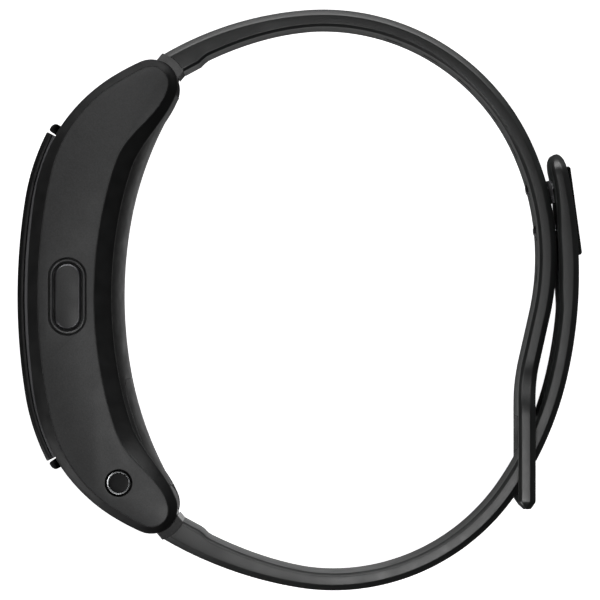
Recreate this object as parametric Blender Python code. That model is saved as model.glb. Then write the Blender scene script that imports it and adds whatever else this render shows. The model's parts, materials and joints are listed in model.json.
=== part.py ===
"""Fitness tracker band: a cradle with a lift-out display module, two straps and a peg clasp.

The band lies on its side. +Z runs across the wrist, from the far flank (z = 0) to the near flank.
+Y runs towards the upper strap and +X from the display towards the clasp. Lengths are in metres.
"""
import math

import bmesh
import bpy
from mathutils import Matrix, Vector

MM = 0.001

# Driving dimensions of the whole band
CASE_WIDTH = 22.0 * MM
STRAP_WIDTH = 18.0 * MM
MID_Z = CASE_WIDTH / 2
CASE_MID_Y = 0.41 * MM
SEAM = 0.15 * MM
FIT_GAP = 0.3 * MM

# Curves of the case, each from the middle line upwards: (length, radius), all bending to the right
GLASS_START_X = -33.4 * MM
GLASS_ARCS = ((11.5 * MM, 74.0 * MM), (8.2 * MM, 26.7 * MM))
RIM_START_X = -32.3 * MM
RIM_ARCS = ((11.6 * MM, 85.0 * MM), (18.0 * MM, 20.3 * MM))
BELLY_START_X = -20.9 * MM
BELLY_ARCS = ((8.4 * MM, 51.0 * MM), (20.0 * MM, 41.6 * MM))
FLANK_RIM_START_X = -30.9 * MM
FLANK_RIM_ARCS = ((14.5 * MM, 67.6 * MM), (13.6 * MM, 16.9 * MM))
FLANK_REAR_START_X = -24.3 * MM
FLANK_REAR_ARCS = ((14.5 * MM, 50.5 * MM), (10.6 * MM, 20.9 * MM))

# Tips of the case, where the straps hang on spring bars
TIP_X = -17.4 * MM
TIP_RISE = 24.85 * MM
TIP_RADIUS = 3.13 * MM
FLANK_TIP_X = -17.5 * MM
FLANK_TIP_RISE = 25.2 * MM
FLANK_TIP_RADIUS = 2.0 * MM
CHAMFER_DEPTH = 1.7 * MM
TIP_DIRECTION = math.radians(50.0)

# Display module: depths below the glass curve, half lengths along it
MODULE_HALF_LENGTH = 20.0 * MM
GLASS_THICKNESS = 0.8 * MM
BEZEL_DEPTHS = (0.86 * MM, 2.8 * MM)
BEZEL_WIDTH = 18.4 * MM
BEZEL_WALL = 1.2 * MM
PANEL_THICKNESS = 1.0 * MM
FLANGE_DEPTHS = (2.86 * MM, 3.4 * MM)
FLANGE_WIDTH = 17.6 * MM
TUB_DEPTH = 8.3 * MM
TUB_WIDTH = 12.0 * MM
TUB_HALF_LENGTH = 14.5 * MM
TUB_WALL = 0.8 * MM
MODULE_CLEARANCE = 0.25 * MM

# Rear covers (the belly)
COVER_WIDTH = 17.5 * MM
COVER_EDGE_DROP = 1.35 * MM
COVER_THICKNESS = 1.8 * MM
COVER_END_S = 24.2 * MM
REAR_SHELL = 1.3 * MM
FLAP_WIDTH = 14.9 * MM
FLAP_CORNER = 1.7 * MM
HINGE_S = -9.9 * MM
HINGE_DEPTH = 0.95 * MM
HINGE_PIN_RADIUS = 0.35 * MM
HINGE_BORE_RADIUS = 0.5 * MM
PIN_LENGTH = 12.4 * MM

# Function key, centred on the case's middle line
KEY_X = -27.4 * MM
KEY_SIZE = (3.2 * MM, 7.9 * MM)
KEY_RING_SIZE = (4.3 * MM, 9.0 * MM)
KEY_RING_HOLE = (3.5 * MM, 8.2 * MM)

# Release buttons, one in each flank
BUTTON_X = -21.35 * MM
BUTTON_Y = -21.6 * MM
BUTTON_RADIUS = 1.45 * MM
BUTTON_WELL_RADIUS = 1.65 * MM
BUTTON_INLAY_RADIUS = 1.15 * MM

# Straps: outer faces as arcs (length, radius); a positive radius bends left, a negative one right
UPPER_START = (-15.93 * MM, 29.19 * MM)
UPPER_HEADING = math.radians(30.0)
UPPER_ARCS = ((17.7 * MM, -39.15 * MM), (33.1 * MM, -27.2 * MM), (20.9 * MM, -32.3 * MM), (5.7 * MM, None),
              (4.6 * MM, 20.6 * MM), (12.6 * MM, None))
LOWER_START = (-15.70 * MM, -28.54 * MM)
LOWER_HEADING = math.radians(-29.7)
LOWER_ARCS = ((16.35 * MM, 46.8 * MM), (29.8 * MM, 26.2 * MM), (15.2 * MM, 40.5 * MM), (27.0 * MM, 55.1 * MM))
STRAP_THICKNESS = 2.05 * MM
STRAP_TAPER = (0.6 * MM, 20.0 * MM)
STRAP_ROOT_STEP = (0.35 * MM, 3.0 * MM, 1.4 * MM)
STRAP_START_S = -0.6 * MM
OUTER_CHAMFER = 0.65 * MM
OUTER_CHAMFER_WIDTH = 0.9 * MM
INNER_CHAMFER = 0.35 * MM
INNER_CHAMFER_WIDTH = 0.5 * MM
CONNECTOR_RADII = (3.3 * MM, 4.1 * MM)
CONNECTOR_HALF_THICKNESS = 1.62 * MM
TIP_SPLIT_S = 58.4 * MM
TIP_HINGE_GAP = 0.3 * MM
TIP_ROUND_LENGTH = 1.8 * MM
TIP_ROUND = ((0.9 * MM, 16.4 * MM, 0.12 * MM), (0.25 * MM, 13.6 * MM, 0.4 * MM), (0.0, 12.0 * MM, 0.7 * MM))

# Loop at the end of the upper strap: the strap widens to the case's width round a window
LOOP_SHOULDER_S = 77.6 * MM
LOOP_SHOULDER_LENGTH = 5.5 * MM
LOOP_WINDOW = (-11.0 * MM, -1.6 * MM)
LOOP_WINDOW_WIDTH = 19.0 * MM
LOOP_END_ROUND = 0.8 * MM
LOOP_END_PINCH = 0.6 * MM

# Clasp: distances of the pegs along the upper strap
PEG_DIRECTION = math.radians(8.0)
PEG_S = (55.9 * MM, 61.3 * MM)
HOLE_PITCH = 5.4 * MM
PEG_SHAFT_RADIUS = 0.6 * MM
PEG_HEAD_RADIUS = 0.85 * MM
PEG_HEAD = ((-0.35 * MM, 0.35 * MM), (-0.2 * MM, 0.65 * MM), (0.1 * MM, PEG_HEAD_RADIUS),
            (0.5 * MM, PEG_HEAD_RADIUS), (0.85 * MM, PEG_SHAFT_RADIUS))
PEG_END_DEPTH = 0.45 * MM
STRAP_HOLE_RADIUS = 1.2 * MM
CLASP_PLATE_SPAN = (76.0 * MM, 86.6 * MM)
CLASP_PLATE_THICKNESS = 0.42 * MM
CLASP_PLATE_WIDTH = 13.6 * MM
PLATE_SEAT_GROWTH = 0.12 * MM
CLASP_BASE_SPAN = (82.6 * MM, 85.4 * MM)
CLASP_BASE_THICKNESS = (0.32 * MM, 0.5 * MM)
CLASP_BASE_WIDTH = 12.0 * MM
SPARE_HOLES_ABOVE = 5
SPARE_HOLES_BELOW = 1

SMOOTH_ANGLE = math.radians(35.0)


# ---------------------------------------------------------------- curves

class ArcPath:
    """A flat curve of straight runs and arcs that meet without a corner."""

    def __init__(self, start, heading, arcs, bend=1.0, mirror_y=None):
        self.start = start
        self.heading = heading
        self.arcs = arcs
        self.bend = bend
        self.mirror_y = mirror_y

    def at(self, distance):
        """Point and heading at a distance along the curve; below zero it is the mirror image."""
        if self.mirror_y is not None and distance < 0.0:
            x, y, heading = self.at(-distance)
            return x, 2 * self.mirror_y - y, math.pi - heading
        x, y = self.start
        heading = self.heading
        left = distance
        for index, (length, radius) in enumerate(self.arcs):
            is_last = index == len(self.arcs) - 1
            step = left if is_last else min(left, length)
            if radius is None:
                x += step * math.cos(heading)
                y += step * math.sin(heading)
            else:
                signed = radius * self.bend
                turned = heading + step / signed
                x += signed * (math.sin(turned) - math.sin(heading))
                y -= signed * (math.cos(turned) - math.cos(heading))
                heading = turned
            left -= step
            if left <= 0.0:
                break
        return x, y, heading

    def length(self):
        return sum(length for length, _ in self.arcs)

    def offset(self, distance, left):
        """Point at a distance along the curve, moved to its left by the given amount."""
        x, y, heading = self.at(distance)
        return x - left * math.sin(heading), y + left * math.cos(heading)


def case_curve(start_x, arcs):
    return ArcPath((start_x, CASE_MID_Y), math.pi / 2, arcs, bend=-1.0, mirror_y=CASE_MID_Y)


GLASS = case_curve(GLASS_START_X, GLASS_ARCS)
RIM = case_curve(RIM_START_X, RIM_ARCS)
BELLY = case_curve(BELLY_START_X, BELLY_ARCS)
FLANK_RIM = case_curve(FLANK_RIM_START_X, FLANK_RIM_ARCS)
FLANK_REAR = case_curve(FLANK_REAR_START_X, FLANK_REAR_ARCS)
UPPER = ArcPath(UPPER_START, UPPER_HEADING, UPPER_ARCS)
LOWER = ArcPath(LOWER_START, LOWER_HEADING, LOWER_ARCS)


def spread(first, last, count):
    return [first + (last - first) * i / (count - 1) for i in range(count)]


def tangent_radius(point, heading, centre, radius):
    """Radius of the right-hand arc that leaves a point along a heading and runs into a circle."""
    vx, vy = centre[0] - point[0], centre[1] - point[1]
    along_normal = vx * math.sin(heading) - vy * math.cos(heading)
    return (vx * vx + vy * vy - radius * radius) / (2 * (along_normal - radius))


# ---------------------------------------------------------------- meshes

def material(name, colour, roughness, metallic=0.0):
    mat = bpy.data.materials.new(name)
    mat.use_nodes = True
    shader = mat.node_tree.nodes["Principled BSDF"]
    shader.inputs["Base Color"].default_value = (*colour, 1.0)
    shader.inputs["Roughness"].default_value = roughness
    shader.inputs["Metallic"].default_value = metallic
    mat.diffuse_color = (*colour, 1.0)
    return mat


def finish_mesh(name, mesh_data, mat, origin=(0.0, 0.0, 0.0)):
    """Turn a bmesh in world coordinates into an object whose origin lies at the given point."""
    bmesh.ops.recalc_face_normals(mesh_data, faces=mesh_data.faces)
    mesh_data.transform(Matrix.Translation(-Vector(origin)))
    mesh = bpy.data.meshes.new(name)
    mesh_data.to_mesh(mesh)
    mesh_data.free()
    mesh.shade_smooth()
    mesh.set_sharp_from_angle(angle=SMOOTH_ANGLE)
    if mat:
        mesh.materials.append(mat)
    obj = bpy.data.objects.new(name, mesh)
    obj.location = origin
    bpy.context.scene.collection.objects.link(obj)
    return obj


def loft(name, loops, mat=None, origin=(0.0, 0.0, 0.0)):
    """Skin over closed loops of equal length, closed by a flat cap at each end."""
    mesh_data = bmesh.new()
    rings = [[mesh_data.verts.new(point) for point in loop] for loop in loops]
    count = len(rings[0])
    for lower, upper in zip(rings, rings[1:]):
        for i in range(count):
            j = (i + 1) % count
            mesh_data.faces.new((lower[i], lower[j], upper[j], upper[i]))
    mesh_data.faces.new(rings[0])
    mesh_data.faces.new(list(reversed(rings[-1])))
    return finish_mesh(name, mesh_data, mat, origin)


def sweep(name, path, stations, mat=None, origin=(0.0, 0.0, 0.0)):
    """Carry a cross-section of (left offset, z) points along a path; stations are (distance, section)."""
    loops = []
    for distance, section in stations:
        loops.append([(*path.offset(distance, left), z) for left, z in section])
    return loft(name, loops, mat, origin)


def slab(name, path, span, lefts, z_range, steps=14, mat=None, origin=(0.0, 0.0, 0.0)):
    """A curved plate along a path, between two offsets to its left and between two heights."""
    section = rectangle(*lefts, *z_range)
    stations = [(distance, section) for distance in spread(span[0], span[1], steps)]
    return sweep(name, path, stations, mat, origin)


def rectangle(a0, a1, b0, b1):
    return [(a0, b0), (a1, b0), (a1, b1), (a0, b1)]


def prism(name, outline, z_range, mat=None, origin=(0.0, 0.0, 0.0)):
    loops = [[(x, y, z) for x, y in outline] for z in z_range]
    return loft(name, loops, mat, origin)


def circle(centre, radius, count=24, start=0.0):
    step = 2 * math.pi / count
    return [(centre[0] + radius * math.cos(start + i * step), centre[1] + radius * math.sin(start + i * step))
            for i in range(count)]


def turned(name, centre, profile, count=24, mat=None, origin=(0.0, 0.0, 0.0)):
    """A piece turned about an upright axis; profile is (radius, z) from one end to the other."""
    loops = [[(x, y, z) for x, y in circle(centre, radius, count)] for radius, z in profile]
    return loft(name, loops, mat, origin)


def local_block(name, path, distance, along, outward, z_range, mat=None, origin=(0.0, 0.0, 0.0)):
    """A straight block set square to a case curve: ranges along it and outward (to its right)."""
    x, y, heading = path.at(distance)
    tangent = Vector((math.cos(heading), math.sin(heading)))
    normal = Vector((math.sin(heading), -math.cos(heading)))
    base = Vector((x, y))
    outline = [base + tangent * t + normal * n for t, n in rectangle(*along, *outward)]
    return prism(name, [(p.x, p.y) for p in outline], z_range, mat, origin)


def rod(name, start, direction, rings, count=16, mat=None, origin=(0.0, 0.0, 0.0)):
    """A round piece along a direction in the XY plane; rings are (distance, radius)."""
    axis = Vector((math.cos(direction), math.sin(direction), 0.0))
    side = Vector((-axis.y, axis.x, 0.0))
    base = Vector(start)
    loops = []
    for distance, radius in rings:
        loop = []
        for i in range(count):
            angle = 2 * math.pi * i / count
            offset = side * math.cos(angle) + Vector((0.0, 0.0, 1.0)) * math.sin(angle)
            loop.append(base + axis * distance + offset * radius)
        loops.append(loop)
    return loft(name, loops, mat, origin)


def boolean(target, tool, operation="DIFFERENCE"):
    tool.hide_render = True
    tool.display_type = "WIRE"
    modifier = target.modifiers.new(operation.title(), "BOOLEAN")
    modifier.operation = operation
    modifier.object = tool
    modifier.solver = "EXACT"


def cut(target, *tools):
    for tool in tools:
        boolean(target, tool)


def fuse(target, *tools):
    for tool in tools:
        boolean(target, tool, "UNION")


# ---------------------------------------------------------------- materials

def make_materials():
    return {
        "case": material("case_matte_black", (0.035, 0.036, 0.037), 0.55),
        "plate": material("side_plate_black", (0.045, 0.046, 0.047), 0.6),
        "gloss": material("gloss_black", (0.012, 0.012, 0.013), 0.15),
        "glass": material("cover_glass", (0.01, 0.01, 0.012), 0.05),
        "dark_metal": material("polished_dark_metal", (0.16, 0.16, 0.17), 0.18, 1.0),
        "chrome": material("chrome", (0.75, 0.76, 0.78), 0.08, 1.0),
        "steel": material("steel", (0.55, 0.56, 0.58), 0.3, 1.0),
        "strap": material("strap_rubber", (0.04, 0.042, 0.043), 0.5),
        "board": material("circuit_board", (0.02, 0.12, 0.06), 0.5),
        "chip": material("black_chip", (0.03, 0.03, 0.03), 0.45),
        "battery": material("battery_foil", (0.6, 0.6, 0.62), 0.35, 1.0),
        "contact": material("gold_contacts", (0.85, 0.62, 0.25), 0.25, 1.0),
        "display": material("display_panel", (0.02, 0.02, 0.025), 0.2),
        "seal": material("soft_seal", (0.05, 0.05, 0.05), 0.8),
    }


# ---------------------------------------------------------------- outlines

RIM_STEPS = 18
TIP_STEPS = 10
REAR_STEPS = 12
REAR_SEARCH = 13.5 * MM


def bisect(function, low, high, rounds=40):
    """Value between low and high where a function changes sign."""
    low_sign = function(low) > 0
    for _ in range(rounds):
        middle = (low + high) / 2
        if (function(middle) > 0) == low_sign:
            low = middle
        else:
            high = middle
    return (low + high) / 2


def run_into_tip(path, centre, radius):
    """The same curve with one more arc, which runs smoothly into a tip circle."""
    x, y, heading = path.at(path.length())
    last_radius = tangent_radius((x, y), heading, centre, radius)
    bend_x = x + last_radius * math.sin(heading)
    bend_y = y - last_radius * math.cos(heading)
    end_heading = math.atan2(centre[1] - bend_y, centre[0] - bend_x) - math.pi / 2
    last = (last_radius * (heading - end_heading), last_radius)
    return ArcPath(path.start, path.heading, path.arcs + (last,), bend=-1.0, mirror_y=CASE_MID_Y)


def half_outline(rim, tip, rear, inset):
    """Upper half of an outline of the case: the rim, round the tip, then back along the rear.

    tip is (centre, radius, last angle); rear is (path, distance where it starts, left offset).
    """
    centre, radius, last_angle = tip
    rear_path, rear_end, rear_left = rear
    points = [rim.offset(s, -inset) for s in spread(0.0, rim.length(), RIM_STEPS)]
    first_angle = rim.at(rim.length())[2] + math.pi / 2
    for angle in spread(first_angle, last_angle, TIP_STEPS)[1:-1]:
        points.append((centre[0] + (radius - inset) * math.cos(angle),
                       centre[1] + (radius - inset) * math.sin(angle)))
    points += [rear_path.offset(s, rear_left + inset) for s in spread(rear_end, 0.0, REAR_STEPS)]
    return points


def whole_outline(half):
    """Close a half outline with its mirror image below the case's middle line."""
    lower = [(x, 2 * CASE_MID_Y - y) for x, y in reversed(half[1:-1])]
    return half + lower


def round_the_tip(rim, centre, radius, rear, rear_left, inset=0.0):
    """Outline whose rim runs into the tip circle, and whose rear starts where it meets the circle."""
    def beyond_tip(distance):
        x, y = rear.offset(distance, rear_left)
        return math.hypot(x - centre[0], y - centre[1]) - radius

    start = rear.arcs[0][0]
    rear_end = bisect(beyond_tip, start, start + REAR_SEARCH)
    x, y = rear.offset(rear_end, rear_left)
    tip = (centre, radius, math.atan2(y - centre[1], x - centre[0]))
    rim_run = run_into_tip(rim, centre, radius)
    return whole_outline(half_outline(rim_run, tip, (rear, rear_end, rear_left), inset))


def flank_outline(inset=0.0):
    """Outline of the flat flank inside the chamfer."""
    centre = (FLANK_TIP_X, CASE_MID_Y + FLANK_TIP_RISE)
    return round_the_tip(FLANK_RIM, centre, FLANK_TIP_RADIUS, FLANK_REAR, 0.0, inset)


def side_outline():
    """Outline of the cradle between its chamfers, without the rear covers."""
    return round_the_tip(RIM, tip_point(1), TIP_RADIUS, BELLY, REAR_SHELL)


def tip_point(side):
    """Axis of a spring bar: side is +1 at the upper tip and -1 at the lower one."""
    return TIP_X, CASE_MID_Y + side * TIP_RISE


def capsule(first, second, radius, arc_steps=9):
    """A slot shape: two round ends joined by straight sides."""
    direction = math.atan2(second[1] - first[1], second[0] - first[0])
    points = []
    for centre, start in ((second, direction - math.pi / 2), (first, direction + math.pi / 2)):
        for i in range(arc_steps):
            angle = start + math.pi * i / (arc_steps - 1)
            points.append((centre[0] + radius * math.cos(angle), centre[1] + radius * math.sin(angle)))
    return points


def key_outline(size):
    radius = size[0] / 2
    reach = size[1] / 2 - radius
    return capsule((KEY_X, CASE_MID_Y - reach), (KEY_X, CASE_MID_Y + reach), radius)


def centred(width):
    """Heights of a piece of the given width, centred across the band."""
    return MID_Z - width / 2, MID_Z + width / 2


def mirrored(z_range):
    """The same heights measured from the other flank, in rising order."""
    return CASE_WIDTH - z_range[1], CASE_WIDTH - z_range[0]


# ---------------------------------------------------------------- case

PLATE_THICKNESS = 0.7 * MM
PLATE_LAND = 0.12 * MM
RECESS_DEPTH = 1.9 * MM
TIP_SLOT_WIDTH = 12.5 * MM
TONGUE_WIDTH = 12.0 * MM
TONGUE_RADIUS = 1.8 * MM
TONGUE_REACH = 3.7 * MM
BAR_RADIUS = 0.75 * MM
BAR_TIP_RADIUS = 0.45 * MM
BAR_CLEARANCE = 0.2 * MM
BAR_LENGTH = 11.6 * MM
BAR_TIP_LENGTH = 15.2 * MM
SOCKET_S = -15.6 * MM
CONTACT_S = -9.0 * MM
KEY_FLOOR_Z = 20.2 * MM
SHELF_Z = 17.2 * MM
ARM_END = (-25.5 * MM, -19.1 * MM)
ARM_CHAMBER_WIDTH = 7.6 * MM
SWITCH_SIZE = (3.0 * MM, 3.4 * MM)
HINGE_RELIEF_RADIUS = 1.25 * MM
KNUCKLE_WIDTH = 7.6 * MM
OVERSHOOT = 1.0 * MM


def hinge_point():
    return BELLY.offset(HINGE_S, HINGE_DEPTH)


def tongue_outline(side, radius, reach):
    tip = tip_point(side)
    end = (tip[0] + reach * math.cos(TIP_DIRECTION), tip[1] + side * reach * math.sin(TIP_DIRECTION))
    return capsule(tip, end, radius)


def module_pockets():
    """Cutters for the bay that the display module sits in."""
    head_span = MODULE_HALF_LENGTH + MODULE_CLEARANCE
    tub_span = TUB_HALF_LENGTH + FIT_GAP
    return [
        slab("cut_head", GLASS, (-head_span, head_span), (3.0 * MM, -3.6 * MM),
             centred(BEZEL_WIDTH + 2 * MODULE_CLEARANCE), 20),
        slab("cut_tub", GLASS, (-tub_span, tub_span), (-3.3 * MM, -TUB_DEPTH - FIT_GAP),
             centred(TUB_WIDTH + 2 * MODULE_CLEARANCE), 16),
        local_block("cut_contacts", GLASS, CONTACT_S, (-1.5 * MM, 1.5 * MM), (8.0 * MM, 12.0 * MM),
                    centred(8.6 * MM)),
    ]


def rear_pockets():
    """Cutters for the hollows behind the rear covers."""
    hinge = hinge_point()
    chamber = centred(ARM_CHAMBER_WIDTH)
    return [
        local_block("cut_socket", BELLY, SOCKET_S, (-2.6 * MM, 2.3 * MM), (-7.7 * MM, -1.0 * MM),
                    centred(11.2 * MM)),
        prism("cut_arms", capsule((BUTTON_X, BUTTON_Y), ARM_END, 1.5 * MM), chamber),
        local_block("cut_arm_door", BELLY, SOCKET_S, (-6.4 * MM, -3.9 * MM), (-5.4 * MM, -1.0 * MM), chamber),
        local_block("cut_upper_hollow", BELLY, -SOCKET_S, (-2.3 * MM, 5.5 * MM), (-6.6 * MM, -1.0 * MM),
                    centred(11.2 * MM)),
        prism("cut_hinge_relief", circle(hinge, HINGE_RELIEF_RADIUS, 20), centred(KNUCKLE_WIDTH + 0.8 * MM)),
    ]


def key_pockets():
    """Cutters for the function key, its ring, its stem and the switch under it."""
    centre = (KEY_X, CASE_MID_Y)
    switch_pocket = (SWITCH_SIZE[0] + FIT_GAP, SWITCH_SIZE[1] + FIT_GAP)
    return [
        prism("cut_key", key_outline((KEY_RING_SIZE[0] + FIT_GAP, KEY_RING_SIZE[1] + FIT_GAP)),
              (KEY_FLOOR_Z, CASE_WIDTH + OVERSHOOT)),
        prism("cut_key_stem", circle(centre, 1.0 * MM, 16), (19.0 * MM, KEY_FLOOR_Z + SEAM)),
        prism("cut_switch", centred_rectangle(centre, switch_pocket), (17.0 * MM, 19.2 * MM)),
    ]


def button_wells():
    """Cutters for the release buttons' stepped wells, one from each flank."""
    wells = []
    for label, flip in (("near", False), ("far", True)):
        well = (SHELF_Z, CASE_WIDTH + OVERSHOOT)
        shaft = (MID_Z + ARM_CHAMBER_WIDTH / 2 - SEAM, SHELF_Z + SEAM)
        if flip:
            well, shaft = mirrored(well), mirrored(shaft)
        centre = (BUTTON_X, BUTTON_Y)
        wells.append(prism("cut_well_" + label, circle(centre, BUTTON_WELL_RADIUS, 20), well))
        wells.append(prism("cut_shaft_" + label, circle(centre, 1.0 * MM, 16), shaft))
    return wells


def strap_seats(side):
    """Cutters for the slot and the spring-bar holes in one tip."""
    label = "upper" if side > 0 else "lower"
    return [
        prism("cut_slot_" + label, tongue_outline(side, TONGUE_RADIUS + 0.25 * MM, TONGUE_REACH + OVERSHOOT),
              centred(TIP_SLOT_WIDTH)),
        prism("cut_bar_" + label, circle(tip_point(side), BAR_TIP_RADIUS + 0.2 * MM, 16),
              centred(15.8 * MM)),
    ]


def make_cradle_frame(mats):
    flank = flank_outline()
    side = side_outline()
    levels = ((0.0, flank), (CHAMFER_DEPTH, side), (CASE_WIDTH - CHAMFER_DEPTH, side), (CASE_WIDTH, flank))
    loops = [[(x, y, z) for x, y in outline] for z, outline in levels]
    frame = loft("cradle_frame", loops, mats["case"])
    cut(frame, slab("cut_rear", BELLY, (-26.0 * MM, 26.0 * MM), (RECESS_DEPTH, -3.0 * MM),
                    centred(COVER_WIDTH + FIT_GAP), 24))
    for number, tip in enumerate((1, -1)):
        fuse(frame, prism("tip_core_%d" % number, circle(tip_point(tip), TIP_RADIUS - 0.02 * MM, 28),
                          centred(COVER_WIDTH + OVERSHOOT)))
    cut(frame, *rear_pockets(), *module_pockets(), *key_pockets(), *button_wells())
    cut(frame, *strap_seats(1), *strap_seats(-1))
    seat = flank_outline(PLATE_LAND)
    cut(frame, prism("cut_plate_near", seat, (CASE_WIDTH - PLATE_THICKNESS, CASE_WIDTH + OVERSHOOT)))
    cut(frame, prism("cut_plate_far", seat, (-OVERSHOOT, PLATE_THICKNESS)))
    return frame


def centred_rectangle(centre, size):
    return rectangle(centre[0] - size[0] / 2, centre[0] + size[0] / 2,
                     centre[1] - size[1] / 2, centre[1] + size[1] / 2)


def make_side_plates(mats):
    outline = flank_outline(PLATE_LAND + SEAM)
    lift = 0.05 * MM
    thick = (CASE_WIDTH - PLATE_THICKNESS + lift, CASE_WIDTH)
    near = prism("side_plate_near", outline, thick, mats["plate"])
    far = prism("side_plate_far", outline, mirrored(thick), mats["plate"])
    key_hole = (KEY_RING_SIZE[0] + FIT_GAP, KEY_RING_SIZE[1] + FIT_GAP)
    through = (-OVERSHOOT, CASE_WIDTH + OVERSHOOT)
    cut(near, prism("cut_plate_key", key_outline(key_hole), through))
    button = prism("cut_plate_button", circle((BUTTON_X, BUTTON_Y), BUTTON_WELL_RADIUS), through)
    cut(near, button)
    cut(far, button)


CROWN_STEPS = 11
CROWN_POWER = 2.6
LUG_REACH = 0.75 * MM
FLAP_SETBACK = 1.15 * MM
FLAP_CORNER_ANGLES = (8, 30, 55, 90)


def crown_section(width):
    """Cross-section of a rear cover: flat underneath, rounded towards the wrist."""
    points = []
    for z in spread(*centred(width), CROWN_STEPS):
        share = 2 * abs(z - MID_Z) / COVER_WIDTH
        points.append((COVER_EDGE_DROP * share ** CROWN_POWER, z))
    low, high = centred(width)
    return points + [(COVER_THICKNESS, high), (COVER_THICKNESS, low)]


def flap_stations(end, width, corner, section):
    """Stations of the port cover's outline: its two corners beside the hinge are rounded."""
    stations = []
    for back in [corner * (1.0 - math.cos(math.radians(angle))) for angle in FLAP_CORNER_ANGLES]:
        drop = corner - math.sqrt(corner ** 2 - (corner - back) ** 2)
        stations.append((end - back, section(width - 2 * drop)))
    return stations


def flap_room():
    """Cutter for the notch in the rear cover that the port cover fills."""
    def through(width):
        return rectangle(-OVERSHOOT, COVER_THICKNESS + OVERSHOOT, *centred(width))

    width = FLAP_WIDTH + 2 * SEAM
    stations = flap_stations(HINGE_S - LUG_REACH, width, FLAP_CORNER + SEAM, through)
    stations += [(s, through(width)) for s in spread(stations[-1][0], -COVER_END_S - OVERSHOOT, 10)[1:]]
    return sweep("cut_flap_room", BELLY, stations)


def make_rear_cover(mats):
    section = crown_section(COVER_WIDTH)
    stations = [(s, section) for s in spread(-COVER_END_S, COVER_END_S, 34)]
    cover = sweep("rear_cover", BELLY, stations, mats["case"])
    cut(cover, flap_room())
    for number, side in enumerate((1, -1)):
        tip = circle(tip_point(side), TIP_RADIUS + SEAM, 28)
        cut(cover, prism("cut_cover_tip_%d" % number, tip, centred(CASE_WIDTH)))
    cut(cover, local_block("cut_knuckle_gap", BELLY, HINGE_S, (-3.0 * MM, 1.3 * MM), (-3.0 * MM, 2.0 * MM),
                           centred(KNUCKLE_WIDTH + 0.4 * MM)))
    cut(cover, hinge_bore("cut_cover_bore"))


def hinge_bore(name):
    return prism(name, circle(hinge_point(), HINGE_BORE_RADIUS, 14), centred(PIN_LENGTH + FIT_GAP))


def make_port_cover(mats):
    """The flap over the charging socket: rounded knuckle at its hinge, thumbnail scoop at its free end."""
    pivot = (*hinge_point(), MID_Z)
    stations = flap_stations(HINGE_S - FLAP_SETBACK, FLAP_WIDTH, FLAP_CORNER, crown_section)
    section = crown_section(FLAP_WIDTH)
    stations += [(s, section) for s in spread(stations[-1][0], -COVER_END_S, 10)[1:]]
    cover = sweep("port_cover", BELLY, stations, mats["case"], pivot)
    knuckle = []
    reach = 0.95 * MM
    for along in (-1.6 * MM, 0.0, 0.35 * MM, 0.6 * MM, 0.8 * MM, 0.9 * MM):
        rise = math.sqrt(reach ** 2 - max(along, 0.0) ** 2)
        outer = max(HINGE_DEPTH - rise, 0.03 * MM)
        inner = min(HINGE_DEPTH + rise, COVER_THICKNESS)
        knuckle.append((HINGE_S + along, rectangle(outer, inner, *centred(KNUCKLE_WIDTH))))
    fuse(cover, sweep("port_knuckle", BELLY, knuckle))
    cut(cover, prism("cut_port_tip", circle(tip_point(-1), TIP_RADIUS + SEAM, 28), centred(CASE_WIDTH)))
    cut(cover, hinge_bore("cut_port_bore"))
    scoop = BELLY.offset(-COVER_END_S, -0.4 * MM)
    cut(cover, prism("cut_scoop", circle(scoop, 0.9 * MM, 16), centred(5.0 * MM)))
    low, high = centred(PIN_LENGTH)
    turned("port_hinge_pin", hinge_point(), ((HINGE_PIN_RADIUS, low), (HINGE_PIN_RADIUS, high)), 14,
           mats["steel"], pivot)


# ---------------------------------------------------------------- keys and buttons

def make_function_key(mats):
    centre = (KEY_X, CASE_MID_Y)
    ring = prism("key_ring", key_outline(KEY_RING_SIZE), (20.5 * MM, 21.9 * MM), mats["gloss"])
    cut(ring, prism("cut_ring", key_outline(KEY_RING_HOLE), (20.0 * MM, CASE_WIDTH + OVERSHOOT)))
    bevel = 0.3 * MM
    top = key_outline((KEY_SIZE[0] - 2 * bevel, KEY_SIZE[1] - 2 * bevel))
    body = key_outline(KEY_SIZE)
    levels = ((20.6 * MM, body), (21.65 * MM, body), (21.95 * MM, top))
    key = loft("function_key", [[(x, y, z) for x, y in outline] for z, outline in levels], mats["plate"],
               (*centre, KEY_FLOOR_Z))
    fuse(key, prism("key_stem", circle(centre, 0.7 * MM, 16), (19.45 * MM, 20.8 * MM)))
    switch = prism("key_switch", centred_rectangle(centre, SWITCH_SIZE), (17.6 * MM, 18.8 * MM),
                   mats["steel"])
    fuse(switch, prism("switch_dome", circle(centre, 0.9 * MM, 16), (18.7 * MM, 19.1 * MM)))


def coil_spring(name, centre, z_range, radius, wire, turns, mat):
    """A helical wire with closed ends, coiled about an upright axis."""
    steps_per_turn = 10
    sides = 5
    total = turns * steps_per_turn
    low, high = z_range[0] + wire, z_range[1] - wire
    loops = []
    for i in range(total + 1):
        angle = 2 * math.pi * i / steps_per_turn
        outward = Vector((math.cos(angle), math.sin(angle), 0.0))
        middle = Vector((*centre, low + (high - low) * i / total)) + outward * radius
        loop = []
        for k in range(sides):
            around = 2 * math.pi * k / sides
            loop.append(middle + outward * wire * math.cos(around)
                        + Vector((0.0, 0.0, 1.0)) * wire * math.sin(around))
        loops.append(loop)
    return loft(name, loops, mat)


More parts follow.
